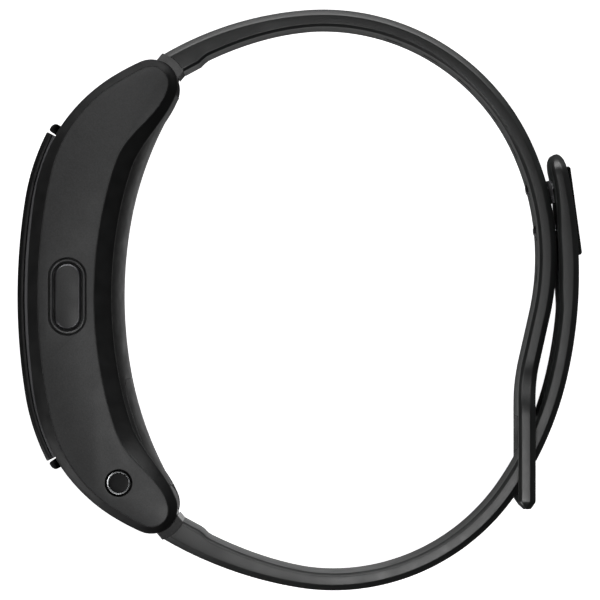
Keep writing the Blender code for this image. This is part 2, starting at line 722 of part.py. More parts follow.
def make_release_button(label, flip, mats):
    """Cap and shaft, glossy inlay, spring under the cap and latch arm on the shaft's inner end."""
    def heights(*values):
        return tuple(CASE_WIDTH - z for z in values) if flip else values

    centre = (BUTTON_X, BUTTON_Y)
    recess = BUTTON_INLAY_RADIUS + 0.08 * MM
    z_bottom, z_cap, z_bevel, z_top, z_recess = heights(13.4 * MM, 20.7 * MM, 21.75 * MM, 21.9 * MM,
                                                        21.5 * MM)
    profile = ((0.7 * MM, z_bottom), (0.7 * MM, z_cap), (BUTTON_RADIUS, z_cap), (BUTTON_RADIUS, z_bevel),
               (BUTTON_RADIUS - 0.12 * MM, z_top), (recess, z_top), (recess, z_recess))
    turned("release_button_" + label, centre, profile, 28, mats["chrome"], (*centre, z_cap))
    inlay_low, inlay_edge, inlay_top = heights(21.55 * MM, 21.78 * MM, 21.88 * MM)
    inlay = ((BUTTON_INLAY_RADIUS, inlay_low), (BUTTON_INLAY_RADIUS, inlay_edge),
             (BUTTON_INLAY_RADIUS - 0.15 * MM, inlay_top))
    turned("button_inlay_" + label, centre, inlay, 28, mats["gloss"], (*centre, z_cap))
    arm = heights(12.0 * MM, 13.3 * MM)
    prism("latch_arm_" + label, capsule(centre, ARM_END, 0.6 * MM, 7), (min(arm), max(arm)), mats["steel"],
          (*centre, z_cap))
    coil = heights(SHELF_Z + SEAM, 20.55 * MM)
    coil_spring("button_spring_" + label, centre, (min(coil), max(coil)), 1.15 * MM, 0.14 * MM, 5,
                mats["steel"])


# ---------------------------------------------------------------- charging port

# Blocks are (range along the belly curve, range outward from it, width across)
SOCKET_SHELL = ((-1.3 * MM, 1.3 * MM), (-7.2 * MM, -2.1 * MM), 7.6 * MM)
SOCKET_MOUTH = ((-0.95 * MM, 0.95 * MM), (-6.6 * MM, -1.5 * MM), 6.9 * MM)
SOCKET_TONGUE = ((-0.25 * MM, 0.25 * MM), (-6.8 * MM, -3.2 * MM), 5.0 * MM)
GASKET = ((-2.2 * MM, 1.95 * MM), (-3.0 * MM, -2.1 * MM), 10.4 * MM)
GASKET_HOLE = ((-1.4 * MM, 1.4 * MM), (-4.0 * MM, -1.0 * MM), 7.8 * MM)
CHARGE_BOARD = ((-2.1 * MM, -1.5 * MM), (-5.9 * MM, -3.2 * MM), 10.0 * MM)
CONTACT_BODY = ((-1.3 * MM, 1.3 * MM), (9.0 * MM, 10.3 * MM), 8.2 * MM)
CONTACT_PITCH = 2.0 * MM
CONTACT_COUNT = 4
CONTACT_PIN = ((8.55 * MM, 0.3 * MM), (8.65 * MM, 0.4 * MM), (9.2 * MM, 0.4 * MM))


def port_block(name, block, mat=None):
    along, outward, width = block
    return local_block(name, BELLY, SOCKET_S, along, outward, centred(width), mat)


def make_charging_port(mats):
    socket = port_block("usb_socket", SOCKET_SHELL, mats["steel"])
    cut(socket, port_block("cut_mouth", SOCKET_MOUTH))
    fuse(socket, port_block("socket_tongue", SOCKET_TONGUE))
    gasket = port_block("port_gasket", GASKET, mats["seal"])
    cut(gasket, port_block("cut_gasket", GASKET_HOLE))
    port_block("charge_board", CHARGE_BOARD, mats["board"])


def make_contact_strip(mats):
    """Spring contacts in the bay, which feed the display module."""
    along, outward, width = CONTACT_BODY
    strip = local_block("contact_strip", GLASS, CONTACT_S, along, outward, centred(width), mats["chip"])
    x, y, heading = GLASS.at(CONTACT_S)
    for number in range(CONTACT_COUNT):
        z = MID_Z + (number - (CONTACT_COUNT - 1) / 2) * CONTACT_PITCH
        fuse(strip, rod("contact_pin_%d" % number, (x, y, z), heading - math.pi / 2, CONTACT_PIN, 10))


# ---------------------------------------------------------------- display module

GLASS_HALF_WIDTH = 8.6 * MM
GLASS_BEVEL = (0.4 * MM, 0.35 * MM)
PANEL_TOP = 0.9 * MM
PANEL_GAP = 0.2 * MM
INNER_GAP = 0.2 * MM
FLANGE_SETBACK = 0.4 * MM
# Trims: left offsets of foot, top and bevel; stations are (distance past the glass, drop of the top)
TRIM_LEFTS = (-1.02 * MM, -0.1 * MM, -0.35 * MM)
TRIM_HALF_WIDTH = 8.1 * MM
TRIM_BEVEL = 0.4 * MM
TRIM_STATIONS = ((0.12 * MM, 0.25 * MM), (0.4 * MM, 0.0), (1.05 * MM, 0.0), (1.4 * MM, 0.25 * MM))
BATTERY_SPAN = (-3.5 * MM, 13.0 * MM)
BATTERY_DEPTHS = (5.0 * MM, 7.35 * MM)
BOARD_DEPTHS = (3.8 * MM, 4.3 * MM)
# Blocks are (distance along the glass curve, half length, depths below it, width across)
SHIELD_CAN = (7.0 * MM, 4.5 * MM, (2.55 * MM, 3.65 * MM), 8.4 * MM)
MOTION_SENSOR = (-2.0 * MM, 1.25 * MM, (2.9 * MM, 3.7 * MM), 2.5 * MM)
CONTACT_PADS = (CONTACT_S, 1.2 * MM, (8.33 * MM, 8.45 * MM), 7.6 * MM)
MOTOR_S = -8.4 * MM
MOTOR_RINGS = ((4.6 * MM, 3.5 * MM), (4.8 * MM, 3.7 * MM), (7.0 * MM, 3.7 * MM), (7.2 * MM, 3.5 * MM))


def below(*depths):
    """Left offsets of a piece given by its depths below the glass curve."""
    return tuple(-depth for depth in depths)


def glass_section():
    """Cross-section of the cover glass, bevelled along both long edges."""
    half, bevel_width, bevel_depth = GLASS_HALF_WIDTH, GLASS_BEVEL[0], GLASS_BEVEL[1]
    return [(-GLASS_THICKNESS, MID_Z - half), (-bevel_depth, MID_Z - half), (0.0, MID_Z - half + bevel_width),
            (0.0, MID_Z + half - bevel_width), (-bevel_depth, MID_Z + half), (-GLASS_THICKNESS, MID_Z + half)]


def make_module_shell(mats):
    half = MODULE_HALF_LENGTH
    section = glass_section()
    sweep("cover_glass", GLASS, [(s, section) for s in spread(-half, half, 25)], mats["glass"])
    bezel = slab("module_bezel", GLASS, (-half, half), below(*BEZEL_DEPTHS), centred(BEZEL_WIDTH), 21,
                 mats["dark_metal"])
    inner, inner_width = half - BEZEL_WALL, BEZEL_WIDTH - 2 * BEZEL_WALL
    cut(bezel, slab("cut_bezel", GLASS, (-inner, inner), below(0.0, FLANGE_DEPTHS[1]),
                    centred(inner_width), 17))
    panel = inner - PANEL_GAP
    slab("display_panel", GLASS, (-panel, panel), below(PANEL_TOP, PANEL_TOP + PANEL_THICKNESS),
         centred(inner_width - 2 * PANEL_GAP), 17, mats["display"])
    flange = half - FLANGE_SETBACK
    tray = slab("module_tray", GLASS, (-flange, flange), below(*FLANGE_DEPTHS), centred(FLANGE_WIDTH), 19,
                mats["case"])
    tub_top = sum(FLANGE_DEPTHS) / 2
    fuse(tray, slab("tray_tub", GLASS, (-TUB_HALF_LENGTH, TUB_HALF_LENGTH), below(tub_top, TUB_DEPTH),
                    centred(TUB_WIDTH), 13))
    cavity = TUB_HALF_LENGTH - TUB_WALL
    cut(tray, slab("cut_tray", GLASS, (-cavity, cavity), below(BEZEL_DEPTHS[0], TUB_DEPTH - TUB_WALL),
                   centred(TUB_WIDTH - 2 * TUB_WALL), 11))


def make_end_trims(mats):
    """Polished bars beyond the glass's two ends."""
    low, rise, bevel = TRIM_LEFTS
    edge, end = TRIM_HALF_WIDTH - TRIM_BEVEL, TRIM_HALF_WIDTH
    for label, sign in (("upper", 1), ("lower", -1)):
        stations = []
        for distance, drop in TRIM_STATIONS:
            section = [(low, MID_Z - edge), (bevel - drop, MID_Z - end), (rise - drop, MID_Z - edge),
                       (rise - drop, MID_Z + edge), (bevel - drop, MID_Z + end), (low, MID_Z + edge)]
            stations.append((sign * (MODULE_HALF_LENGTH + distance), section))
        sweep("end_trim_" + label, GLASS, stations, mats["chrome"])


def make_module_internals(mats):
    cavity = TUB_HALF_LENGTH - TUB_WALL - INNER_GAP
    width = TUB_WIDTH - 2 * TUB_WALL - 2 * INNER_GAP
    slab("main_board", GLASS, (-cavity, cavity), below(*BOARD_DEPTHS), centred(width), 9, mats["board"])
    slab("battery", GLASS, BATTERY_SPAN, below(*BATTERY_DEPTHS), centred(width), 9, mats["battery"])
    module_block("shield_can", SHIELD_CAN, mats["steel"])
    module_block("motion_sensor", MOTION_SENSOR, mats["chip"])
    module_block("contact_pads", CONTACT_PADS, mats["contact"])
    x, y, heading = GLASS.at(MOTOR_S)
    rod("vibration_motor", (x, y, MID_Z), heading - math.pi / 2, MOTOR_RINGS, 24, mats["steel"])


def module_block(name, block, mat):
    distance, half_length, depths, width = block
    local_block(name, GLASS, distance, (-half_length, half_length), depths, centred(width), mat)


# ---------------------------------------------------------------- straps

def smoothstep(value):
    value = min(max(value, 0.0), 1.0)
    return value * value * (3 - 2 * value)


def strap_thickness(distance):
    """Thick at the root with a small step on the wrist side, then thinning along the first part."""
    extra, taper_length = STRAP_TAPER
    step, step_start, step_length = STRAP_ROOT_STEP
    taper = extra * (1.0 - smoothstep(distance / taper_length))
    return STRAP_THICKNESS + taper + step * (1.0 - smoothstep((distance - step_start) / step_length))


def strap_section(thickness, width, inward, pinch=0.0):
    """Chamfered strap cross-section; inward is +1 where the wrist lies to the path's left."""
    half = width / 2
    outer = (pinch, half - OUTER_CHAMFER_WIDTH)
    outer_side = (pinch + min(OUTER_CHAMFER, thickness / 2 - pinch), half)
    inner_side = (thickness - pinch - min(INNER_CHAMFER, thickness / 2 - pinch), half)
    inner = (thickness - pinch, half - INNER_CHAMFER_WIDTH)
    upper_half = [(inward * depth, MID_Z + reach) for depth, reach in (outer, outer_side, inner_side, inner)]
    lower_half = [(left, CASE_WIDTH - z) for left, z in reversed(upper_half)]
    return upper_half + lower_half


def root_cutter(label, side):
    """The round space that the connector takes up at a strap's root."""
    outline = circle(tip_point(side), CONNECTOR_RADII[1] + SEAM, 28)
    return prism("cut_root_" + label, outline, centred(CASE_WIDTH))


def loop_width(distance):
    share = smoothstep((distance - LOOP_SHOULDER_S) / LOOP_SHOULDER_LENGTH)
    return STRAP_WIDTH + (CASE_WIDTH - STRAP_WIDTH) * share


def make_upper_strap(mats):
    """Upper strap: from its connector to the wide loop that the lower strap goes through."""
    length = UPPER.length()
    end = length - LOOP_END_ROUND
    distances = spread(STRAP_START_S, LOOP_SHOULDER_S, 36) + spread(LOOP_SHOULDER_S, end, 13)[1:]
    stations = [(s, strap_section(strap_thickness(s), loop_width(s), -1)) for s in distances]
    end_width = CASE_WIDTH - 2 * LOOP_END_PINCH
    stations.append((length, strap_section(STRAP_THICKNESS, end_width, -1, LOOP_END_PINCH)))
    strap = sweep("upper_strap", UPPER, stations, mats["strap"])
    window = rectangle(*LOOP_WINDOW, -OVERSHOOT, STRAP_THICKNESS + OVERSHOOT)
    x, y, heading = UPPER.at(length)
    cosine, sine = math.cos(heading), math.sin(heading)
    outline = [(x + t * cosine + n * sine, y + t * sine - n * cosine) for t, n in window]
    cut(strap, root_cutter("upper", 1), prism("cut_loop_window", outline, centred(LOOP_WINDOW_WIDTH)))
    for number, distance in enumerate(hole_distances()):
        start = (*UPPER.offset(distance, -STRAP_THICKNESS), MID_Z)
        outward = UPPER.at(distance)[2] + math.pi / 2
        direction = PEG_DIRECTION if distance in PEG_S else outward
        rings = ((-OVERSHOOT, STRAP_HOLE_RADIUS), (STRAP_THICKNESS + OVERSHOOT, STRAP_HOLE_RADIUS))
        cut(strap, rod("cut_hole_%d" % number, start, direction, rings, 16))


def hole_distances():
    above = [PEG_S[0] - HOLE_PITCH * (i + 1) for i in range(SPARE_HOLES_ABOVE)]
    below_pegs = [PEG_S[1] + HOLE_PITCH * (i + 1) for i in range(SPARE_HOLES_BELOW)]
    return above + list(PEG_S) + below_pegs


def peg_length(distance):
    """Distance along a peg's axis from the upper strap's inner face to the strap tip's outer face."""
    x, y = UPPER.offset(distance, -STRAP_THICKNESS)
    dx, dy = math.cos(PEG_DIRECTION), math.sin(PEG_DIRECTION)

    def side(along):
        px, py, _ = LOWER.at(along)
        return (px - x) * dy - (py - y) * dx

    px, py, _ = LOWER.at(bisect(side, TIP_SPLIT_S, LOWER.length()))
    return (px - x) * dx + (py - y) * dy


def make_connector(side, label, mats):
    """Hard link between a case tip and a strap: an arc band with a tongue on the spring bar."""
    tip = tip_point(side)
    band = []
    for radius, order in ((CONNECTOR_RADII[1], 1), (CONNECTOR_RADII[0], -1)):
        reach = math.asin(CONNECTOR_HALF_THICKNESS / radius)
        for angle in spread(TIP_DIRECTION - reach * order, TIP_DIRECTION + reach * order, 11):
            band.append((tip[0] + radius * math.cos(angle), tip[1] + side * radius * math.sin(angle)))
    link = prism(label + "_connector", band, centred(STRAP_WIDTH), mats["gloss"])
    tongue = tongue_outline(side, TONGUE_RADIUS, CONNECTOR_RADII[0] - TONGUE_RADIUS + 2 * SEAM)
    fuse(link, prism("tongue_" + label, tongue, centred(TONGUE_WIDTH)))
    cut(link, prism("cut_tongue_" + label, circle(tip, BAR_RADIUS + BAR_CLEARANCE, 16), centred(CASE_WIDTH)))
    low, high = centred(BAR_LENGTH)
    tip_low, tip_high = centred(BAR_TIP_LENGTH)
    profile = ((BAR_TIP_RADIUS, tip_low), (BAR_TIP_RADIUS, low), (BAR_RADIUS, low), (BAR_RADIUS, high),
               (BAR_TIP_RADIUS, high), (BAR_TIP_RADIUS, tip_high))
    turned(label + "_spring_bar", tip, profile, 14, mats["steel"])


def make_lower_strap(mats):
    """Lower strap up to where its free tip starts to lie on the upper strap."""
    distances = spread(STRAP_START_S, TIP_SPLIT_S - TIP_HINGE_GAP / 2, 34)
    stations = [(s, strap_section(strap_thickness(s), STRAP_WIDTH, 1)) for s in distances]
    strap = sweep("lower_strap", LOWER, stations, mats["strap"])
    cut(strap, root_cutter("lower", -1))


def make_strap_tip(mats):
    """Free tip of the lower strap, which carries the clasp and peels outwards."""
    pivot = (*LOWER.offset(TIP_SPLIT_S, 0.0), MID_Z)
    length = LOWER.length()
    distances = spread(TIP_SPLIT_S + TIP_HINGE_GAP / 2, length - TIP_ROUND_LENGTH, 18)
    stations = [(s, strap_section(STRAP_THICKNESS, STRAP_WIDTH, 1)) for s in distances]
    for back, width, pinch in TIP_ROUND:
        stations.append((length - back, strap_section(STRAP_THICKNESS, width, 1, pinch)))
    tip = sweep("strap_tip", LOWER, stations, mats["strap"], pivot)
    cut(tip, plate_prism("cut_plate_seat", PLATE_SEAT_GROWTH, (-PLATE_SEAT_GROWTH, STRAP_THICKNESS)))
    plate_prism("clasp_plate", 0.0, (0.0, CLASP_PLATE_THICKNESS), mats["dark_metal"], pivot)
    base = make_clasp_base(mats, pivot)
    for name, distance in zip(("peg_upper", "peg_lower"), PEG_S):
        start = (*UPPER.offset(distance, -STRAP_THICKNESS), MID_Z)
        bore = rod("cut_" + name, start, PEG_DIRECTION, ((STRAP_THICKNESS, PEG_HEAD_RADIUS),
                                                        (4 * STRAP_THICKNESS, PEG_HEAD_RADIUS)), 16)
        cut(tip, bore)
        cut(base, bore)
        make_peg(name, start, peg_length(distance) - PEG_END_DEPTH, mats, pivot)


def plate_prism(name, growth, outward, mat=None, origin=(0.0, 0.0, 0.0)):
    """A straight plate with bevelled ends, laid on the chord of a stretch of the strap's outer face."""
    first = Vector(LOWER.offset(CLASP_PLATE_SPAN[0], 0.0))
    last = Vector(LOWER.offset(CLASP_PLATE_SPAN[1], 0.0))
    along = (last - first).normalized()
    normal = Vector((along.y, -along.x))
    base = first + normal * SEAM / 3
    reach = (last - first).length
    low, high = outward
    bevel = (high - low) / 2
    corners = ((-growth, low), (-growth, high - bevel), (bevel - growth, high),
               (reach + growth - bevel, high), (reach + growth, high - bevel), (reach + growth, low))
    outline = [base + along * a + normal * n for a, n in corners]
    return prism(name, [(p.x, p.y) for p in outline], centred(CLASP_PLATE_WIDTH + 2 * growth), mat, origin)


def make_clasp_base(mats, pivot):
    """Small seat of the upper peg, a wedge in the gap between the strap tip and the upper strap."""
    floor = STRAP_THICKNESS + SEAM / 2
    stations = []
    for distance, thickness in zip(CLASP_BASE_SPAN, CLASP_BASE_THICKNESS):
        stations.append((distance, rectangle(floor, floor + thickness, *centred(CLASP_BASE_WIDTH))))
    return sweep("clasp_base", LOWER, stations, mats["dark_metal"], pivot)


def make_peg(name, start, end, mats, pivot):
    """A peg with a rounded head just inside the upper strap's inner face."""
    rings = [(distance, radius) for distance, radius in PEG_HEAD]
    rings.append((end, PEG_SHAFT_RADIUS))
    rod(name, start, PEG_DIRECTION, rings, 16, mats["dark_metal"], pivot)


# ---------------------------------------------------------------- assembly

def clear_scene():
    for obj in list(bpy.data.objects):
        bpy.data.objects.remove(obj, do_unlink=True)


def main():
    clear_scene()
    mats = make_materials()
    make_cradle_frame(mats)
    make_side_plates(mats)
    make_rear_cover(mats)
    make_port_cover(mats)
    make_function_key(mats)
    make_release_button("near", False, mats)
    make_release_button("far", True, mats)
    make_charging_port(mats)
    make_contact_strip(mats)
    make_module_shell(mats)
    make_end_trims(mats)
    make_module_internals(mats)
    make_upper_strap(mats)
    make_connector(1, "upper", mats)
    make_connector(-1, "lower", mats)
    make_lower_strap(mats)
    make_strap_tip(mats)


main()
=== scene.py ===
"""Looks of the fitness tracker band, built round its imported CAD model. Lengths are in metres."""

import json
import math

import bmesh
import bpy
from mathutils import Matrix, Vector


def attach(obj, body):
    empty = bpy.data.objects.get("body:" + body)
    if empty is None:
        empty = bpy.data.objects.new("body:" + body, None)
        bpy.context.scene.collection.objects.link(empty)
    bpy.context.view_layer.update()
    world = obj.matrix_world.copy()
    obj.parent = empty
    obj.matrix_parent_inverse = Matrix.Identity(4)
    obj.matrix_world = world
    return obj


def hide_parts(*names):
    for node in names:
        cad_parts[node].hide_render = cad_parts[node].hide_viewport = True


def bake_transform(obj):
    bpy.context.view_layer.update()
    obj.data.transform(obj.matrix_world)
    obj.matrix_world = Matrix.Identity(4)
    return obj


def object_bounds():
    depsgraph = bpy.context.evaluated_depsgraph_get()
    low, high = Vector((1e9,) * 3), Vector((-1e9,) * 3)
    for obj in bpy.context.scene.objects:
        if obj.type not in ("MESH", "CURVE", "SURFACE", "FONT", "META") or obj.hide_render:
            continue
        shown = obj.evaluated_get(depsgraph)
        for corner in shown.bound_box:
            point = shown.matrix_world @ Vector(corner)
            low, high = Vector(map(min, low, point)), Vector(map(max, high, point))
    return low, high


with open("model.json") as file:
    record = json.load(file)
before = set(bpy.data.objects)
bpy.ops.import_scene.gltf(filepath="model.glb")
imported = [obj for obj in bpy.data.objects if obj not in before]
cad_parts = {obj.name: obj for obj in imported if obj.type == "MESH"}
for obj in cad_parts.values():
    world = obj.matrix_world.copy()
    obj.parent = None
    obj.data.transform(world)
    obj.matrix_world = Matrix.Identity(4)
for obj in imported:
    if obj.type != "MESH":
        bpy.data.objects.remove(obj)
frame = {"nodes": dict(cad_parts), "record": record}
CAD_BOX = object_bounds()

MM = 0.001
WHOLE_LOW, WHOLE_HIGH = CAD_BOX
CASE_WIDTH = WHOLE_HIGH.z - WHOLE_LOW.z
MID_Z = (WHOLE_HIGH.z + WHOLE_LOW.z) / 2


# ---------------------------------------------------------------- material nodes

CLOUD_SPREAD = (0.3, 0.7)
GRAIN_SPREAD = (0.35, 0.65)
WEAR_SPREAD = (0.35, 0.6)
WEAR_SIZE = 1.3 * MM
LEAST_WEAR = 0.35
EDGE_TURN = 0.10


class Nodes:
    """Short names for adding linked shader nodes to one material."""

    def __init__(self, name):
        self.material = bpy.data.materials.new(name)
        self.material.use_nodes = True
        self.tree = self.material.node_tree
        self.shader = self.tree.nodes["Principled BSDF"]
        self.where = self.add("ShaderNodeTexCoord").outputs["Object"]

    def add(self, kind, **inputs):
        node = self.tree.nodes.new(kind)
        for key, value in inputs.items():
            self.set(node.inputs[key.replace("_", " ")], value)
        return node

    def set(self, socket, value):
        if isinstance(value, bpy.types.NodeSocket):
            self.tree.links.new(value, socket)
        else:
            socket.default_value = value

    def noise(self, size, detail=3.0, stretch=None, seed=0.0):
        """Noise between 0 and 1 whose patches are about the given size in metres."""
        where = self.where
        if stretch or seed:
            mapping = self.add("ShaderNodeMapping", Vector=where)
            mapping.inputs["Location"].default_value = (seed, seed * 0.7, seed * 1.3)
            mapping.inputs["Scale"].default_value = stretch or (1.0, 1.0, 1.0)
            where = mapping.outputs["Vector"]
        node = self.add("ShaderNodeTexNoise", Vector=where, Scale=1.0 / size, Detail=detail, Roughness=0.55)
        return node.outputs["Fac"]

    def remap(self, value, low, high, to_low, to_high):
        """Carry one range of values over to another, held at its ends."""
        node = self.add("ShaderNodeMapRange", Value=value)
        node.clamp = True
        for name, number in zip(("From Min", "From Max", "To Min", "To Max"), (low, high, to_low, to_high)):
            node.inputs[name].default_value = number
        return node.outputs["Result"]

    def math(self, operation, first, second=0.0):
        node = self.tree.nodes.new("ShaderNodeMath")
        node.operation = operation
        self.set(node.inputs[0], first)
        self.set(node.inputs[1], second)
        return node.outputs["Value"]

    def mix(self, factor, first, second):
        node = self.tree.nodes.new("ShaderNodeMix")
        node.data_type = "RGBA"
        self.set(node.inputs[0], factor)
        self.set(node.inputs[6], first)
        self.set(node.inputs[7], second)
        return node.outputs[2]

    def edge(self, radius):
        """1 on an edge and 0 on a flat, from how far the normal turns within a small radius."""
        bevel = self.add("ShaderNodeBevel", Radius=radius)
        bevel.samples = 4
        normal = self.add("ShaderNodeNewGeometry").outputs["Normal"]
        dot = self.tree.nodes.new("ShaderNodeVectorMath")
        dot.operation = "DOT_PRODUCT"
        self.set(dot.inputs[0], bevel.outputs["Normal"])
        self.set(dot.inputs[1], normal)
        return self.remap(dot.outputs["Value"], 1.0 - EDGE_TURN, 1.0 - 0.1 * EDGE_TURN, 1.0, 0.0)

    def bump(self, height, distance):
        return self.add("ShaderNodeBump", Height=height, Distance=distance, Strength=1.0).outputs["Normal"]


def shades(colour, swing):
    """The colour a little darker and a little lighter."""
    darker = tuple(c * (1.0 - swing) for c in colour) + (1.0,)
    lighter = tuple(min(1.0, c * (1.0 + swing)) for c in colour) + (1.0,)
    return darker, lighter


def surface(name, colour, rough, metal=0.0, patch=3 * MM, patch_depth=0.12, grain=0.12 * MM,
            grain_depth=0.006 * MM, grain_colour=0.12, rough_swing=0.06, edge_radius=0.0, edge_colour=None,
            edge_rough=None, stretch=None, coat=0.0, sheen=0.0, sheen_tint=None, specular=0.5,
            coat_rough=0.05):
    """A material with cloudy colour, a fine grain in colour and height, uneven gloss and worn edges."""
    n = Nodes(name)
    cloud = n.remap(n.noise(patch, 4.0), *CLOUD_SPREAD, 0.0, 1.0)
    tone = n.mix(cloud, *shades(colour, patch_depth))
    fine = n.noise(grain, 2.0, stretch)
    speck = n.mix(n.remap(fine, *GRAIN_SPREAD, 0.0, 1.0), *shades(colour, grain_colour))
    tone = n.mix(0.5, tone, speck)
    uneven = n.noise(patch * 0.6, 5.0, seed=3.1)
    gloss = n.remap(uneven, *CLOUD_SPREAD, rough - rough_swing, rough + rough_swing)
    if edge_radius:
        wear = n.remap(n.noise(WEAR_SIZE, 4.0, seed=5.7), *WEAR_SPREAD, LEAST_WEAR, 1.0)
        worn = n.math("MULTIPLY", n.edge(edge_radius), wear)
        tone = n.mix(worn, tone, (*edge_colour, 1.0))
        blend = n.tree.nodes.new("ShaderNodeMix")
        n.set(blend.inputs[0], worn)
        n.set(blend.inputs[2], gloss)
        n.set(blend.inputs[3], edge_rough)
        gloss = blend.outputs[0]
    n.set(n.shader.inputs["Base Color"], tone)
    n.set(n.shader.inputs["Roughness"], gloss)
    n.set(n.shader.inputs["Normal"], n.bump(fine, grain_depth))
    n.shader.inputs["Metallic"].default_value = metal
    n.shader.inputs["Specular IOR Level"].default_value = specular
    n.shader.inputs["Coat Weight"].default_value = coat
    n.shader.inputs["Coat Roughness"].default_value = coat_rough
    n.shader.inputs["Sheen Weight"].default_value = sheen
    n.shader.inputs["Sheen Roughness"].default_value = 0.45
    if sheen_tint:
        n.shader.inputs["Sheen Tint"].default_value = (*sheen_tint, 1.0)
    n.material.diffuse_color = (*colour, 1.0)
    return n.material


MATERIALS = {
    "case_plastic": surface(
        "case_plastic", (0.004, 0.0041, 0.0042), 0.42, grain=0.10 * MM, grain_depth=0.004 * MM,
        edge_radius=0.12 * MM, edge_colour=(0.008, 0.008, 0.0082), edge_rough=0.34, specular=0.4),
    "flank_plate": surface(
        "flank_plate", (0.020, 0.0202, 0.0205), 0.55, grain=0.16 * MM, grain_depth=0.012 * MM,
        grain_colour=0.35, patch=5 * MM, edge_radius=0.08 * MM, edge_colour=(0.03, 0.03, 0.031),
        edge_rough=0.4),
    "gloss_plastic": surface(
        "gloss_plastic", (0.003, 0.003, 0.0032), 0.2, grain=0.3 * MM, grain_depth=0.001 * MM,
        rough_swing=0.04, specular=0.3, edge_radius=0.1 * MM, edge_colour=(0.006, 0.006, 0.0062),
        edge_rough=0.1),
    "cover_glass": surface(
        "cover_glass", (0.006, 0.006, 0.0065), 0.06, grain=1.2 * MM, grain_depth=0.0004 * MM,
        rough_swing=0.025, coat=1.0, coat_rough=0.02, patch=6 * MM),
    "dark_metal": surface(
        "dark_metal", (0.16, 0.16, 0.165), 0.22, 1.0, grain=0.1 * MM, grain_depth=0.002 * MM,
        stretch=(1.0, 1.0, 0.08), edge_radius=0.12 * MM, edge_colour=(0.5, 0.5, 0.52), edge_rough=0.12),
    "bright_metal": surface(
        "bright_metal", (0.62, 0.63, 0.65), 0.14, 1.0, grain=0.2 * MM, grain_depth=0.001 * MM,
        rough_swing=0.05, edge_radius=0.08 * MM, edge_colour=(0.85, 0.86, 0.88), edge_rough=0.08),
    "steel": surface(
        "steel", (0.5, 0.51, 0.53), 0.32, 1.0, grain=0.08 * MM, grain_depth=0.003 * MM,
        stretch=(1.0, 1.0, 0.06), rough_swing=0.08, edge_radius=0.08 * MM, edge_colour=(0.7, 0.71, 0.73),
        edge_rough=0.2),
    "circuit_board": surface(
        "circuit_board", (0.012, 0.09, 0.045), 0.38, grain=0.25 * MM, grain_depth=0.01 * MM,
        grain_colour=0.4, coat=0.3, coat_rough=0.15),
    "black_chip": surface(
        "black_chip", (0.022, 0.022, 0.022), 0.5, grain=0.06 * MM, grain_depth=0.006 * MM, grain_colour=0.4),
    "battery_foil": surface(
        "battery_foil", (0.58, 0.58, 0.60), 0.34, 1.0, patch=2 * MM, patch_depth=0.18, grain=0.9 * MM,
        grain_depth=0.03 * MM, rough_swing=0.1),
    "gold_contacts": surface(
        "gold_contacts", (0.82, 0.58, 0.22), 0.24, 1.0, grain=0.1 * MM, grain_depth=0.002 * MM),
    "display_panel": surface(
        "display_panel", (0.014, 0.014, 0.02), 0.18, grain=0.1 * MM, grain_depth=0.001 * MM, coat=0.5),
    "soft_seal": surface(
        "soft_seal", (0.04, 0.04, 0.041), 0.75, grain=0.1 * MM, grain_depth=0.006 * MM, sheen=0.3),
    "strap_rubber": surface(
        "strap_rubber", (0.005, 0.0054, 0.0054), 0.42, grain=0.09 * MM, grain_depth=0.007 * MM,
        grain_colour=0.22, patch=4 * MM, edge_radius=0.1 * MM, edge_colour=(0.008, 0.0085, 0.0085),
        edge_rough=0.34, sheen=0.02, sheen_tint=(0.9, 1.0, 0.98)),
    # finer finishes for single pieces and faces
    "ring_plastic": surface(
        "ring_plastic", (0.035, 0.0355, 0.036), 0.38, grain=0.12 * MM, grain_depth=0.004 * MM),
    "disc_plastic": surface(
        "disc_plastic", (0.005, 0.005, 0.0052), 0.42, grain=0.3 * MM, grain_depth=0.001 * MM, specular=0.12),
    "button_metal": surface(
        "button_metal", (0.30, 0.305, 0.31), 0.26, 1.0, grain=1.5 * MM, grain_depth=0.00005 * MM,
        rough_swing=0.02),
    "bezel_metal": surface(
        "bezel_metal", (0.12, 0.12, 0.125), 0.45, 1.0, grain=0.1 * MM, grain_depth=0.002 * MM,
        stretch=(1.0, 1.0, 0.08)),
    "trim_metal": surface(
        "trim_metal", (0.2, 0.2, 0.21), 0.2, 1.0, grain=0.2 * MM, grain_depth=0.001 * MM, rough_swing=0.05),
    "clasp_metal": surface(
        "clasp_metal", (0.05, 0.05, 0.052), 0.22, 1.0, grain=0.2 * MM, grain_depth=0.001 * MM),
    "glass_edge": surface(
        "glass_edge", (0.003, 0.003, 0.0032), 0.4, grain=0.08 * MM, grain_depth=0.003 * MM, specular=0.25),
}


# ---------------------------------------------------------------- curves and meshes

class ArcPath:
    """A flat curve of straight runs and arcs; a positive radius bends left, a negative one right."""

    def __init__(self, start, heading, arcs, mirror_y=None):
        self.start = start
        self.heading = heading
        self.arcs = arcs
        self.mirror_y = mirror_y

    def at(self, distance):
        """Point and heading at a distance along the curve; below zero it is the mirror image."""
        if self.mirror_y is not None and distance < 0.0:
            x, y, heading = self.at(-distance)
            return x, 2 * self.mirror_y - y, math.pi - heading
        x, y = self.start
        heading = self.heading
        left = distance
        for index, (length, radius) in enumerate(self.arcs):
            step = left if index == len(self.arcs) - 1 else min(left, length)
            if radius is None:
                x += step * math.cos(heading)
                y += step * math.sin(heading)
            else:
                turned = heading + step / radius
                x += radius * (math.sin(turned) - math.sin(heading))
                y -= radius * (math.cos(turned) - math.cos(heading))
                heading = turned
            left -= step
            if left <= 0.0:
                break
        return x, y, heading

    def length(self):
        return sum(length for length, _ in self.arcs)

    def offset(self, distance, left):
        x, y, heading = self.at(distance)
        return x - left * math.sin(heading), y + left * math.cos(heading)


CASE_MID_Y = 0.41 * MM


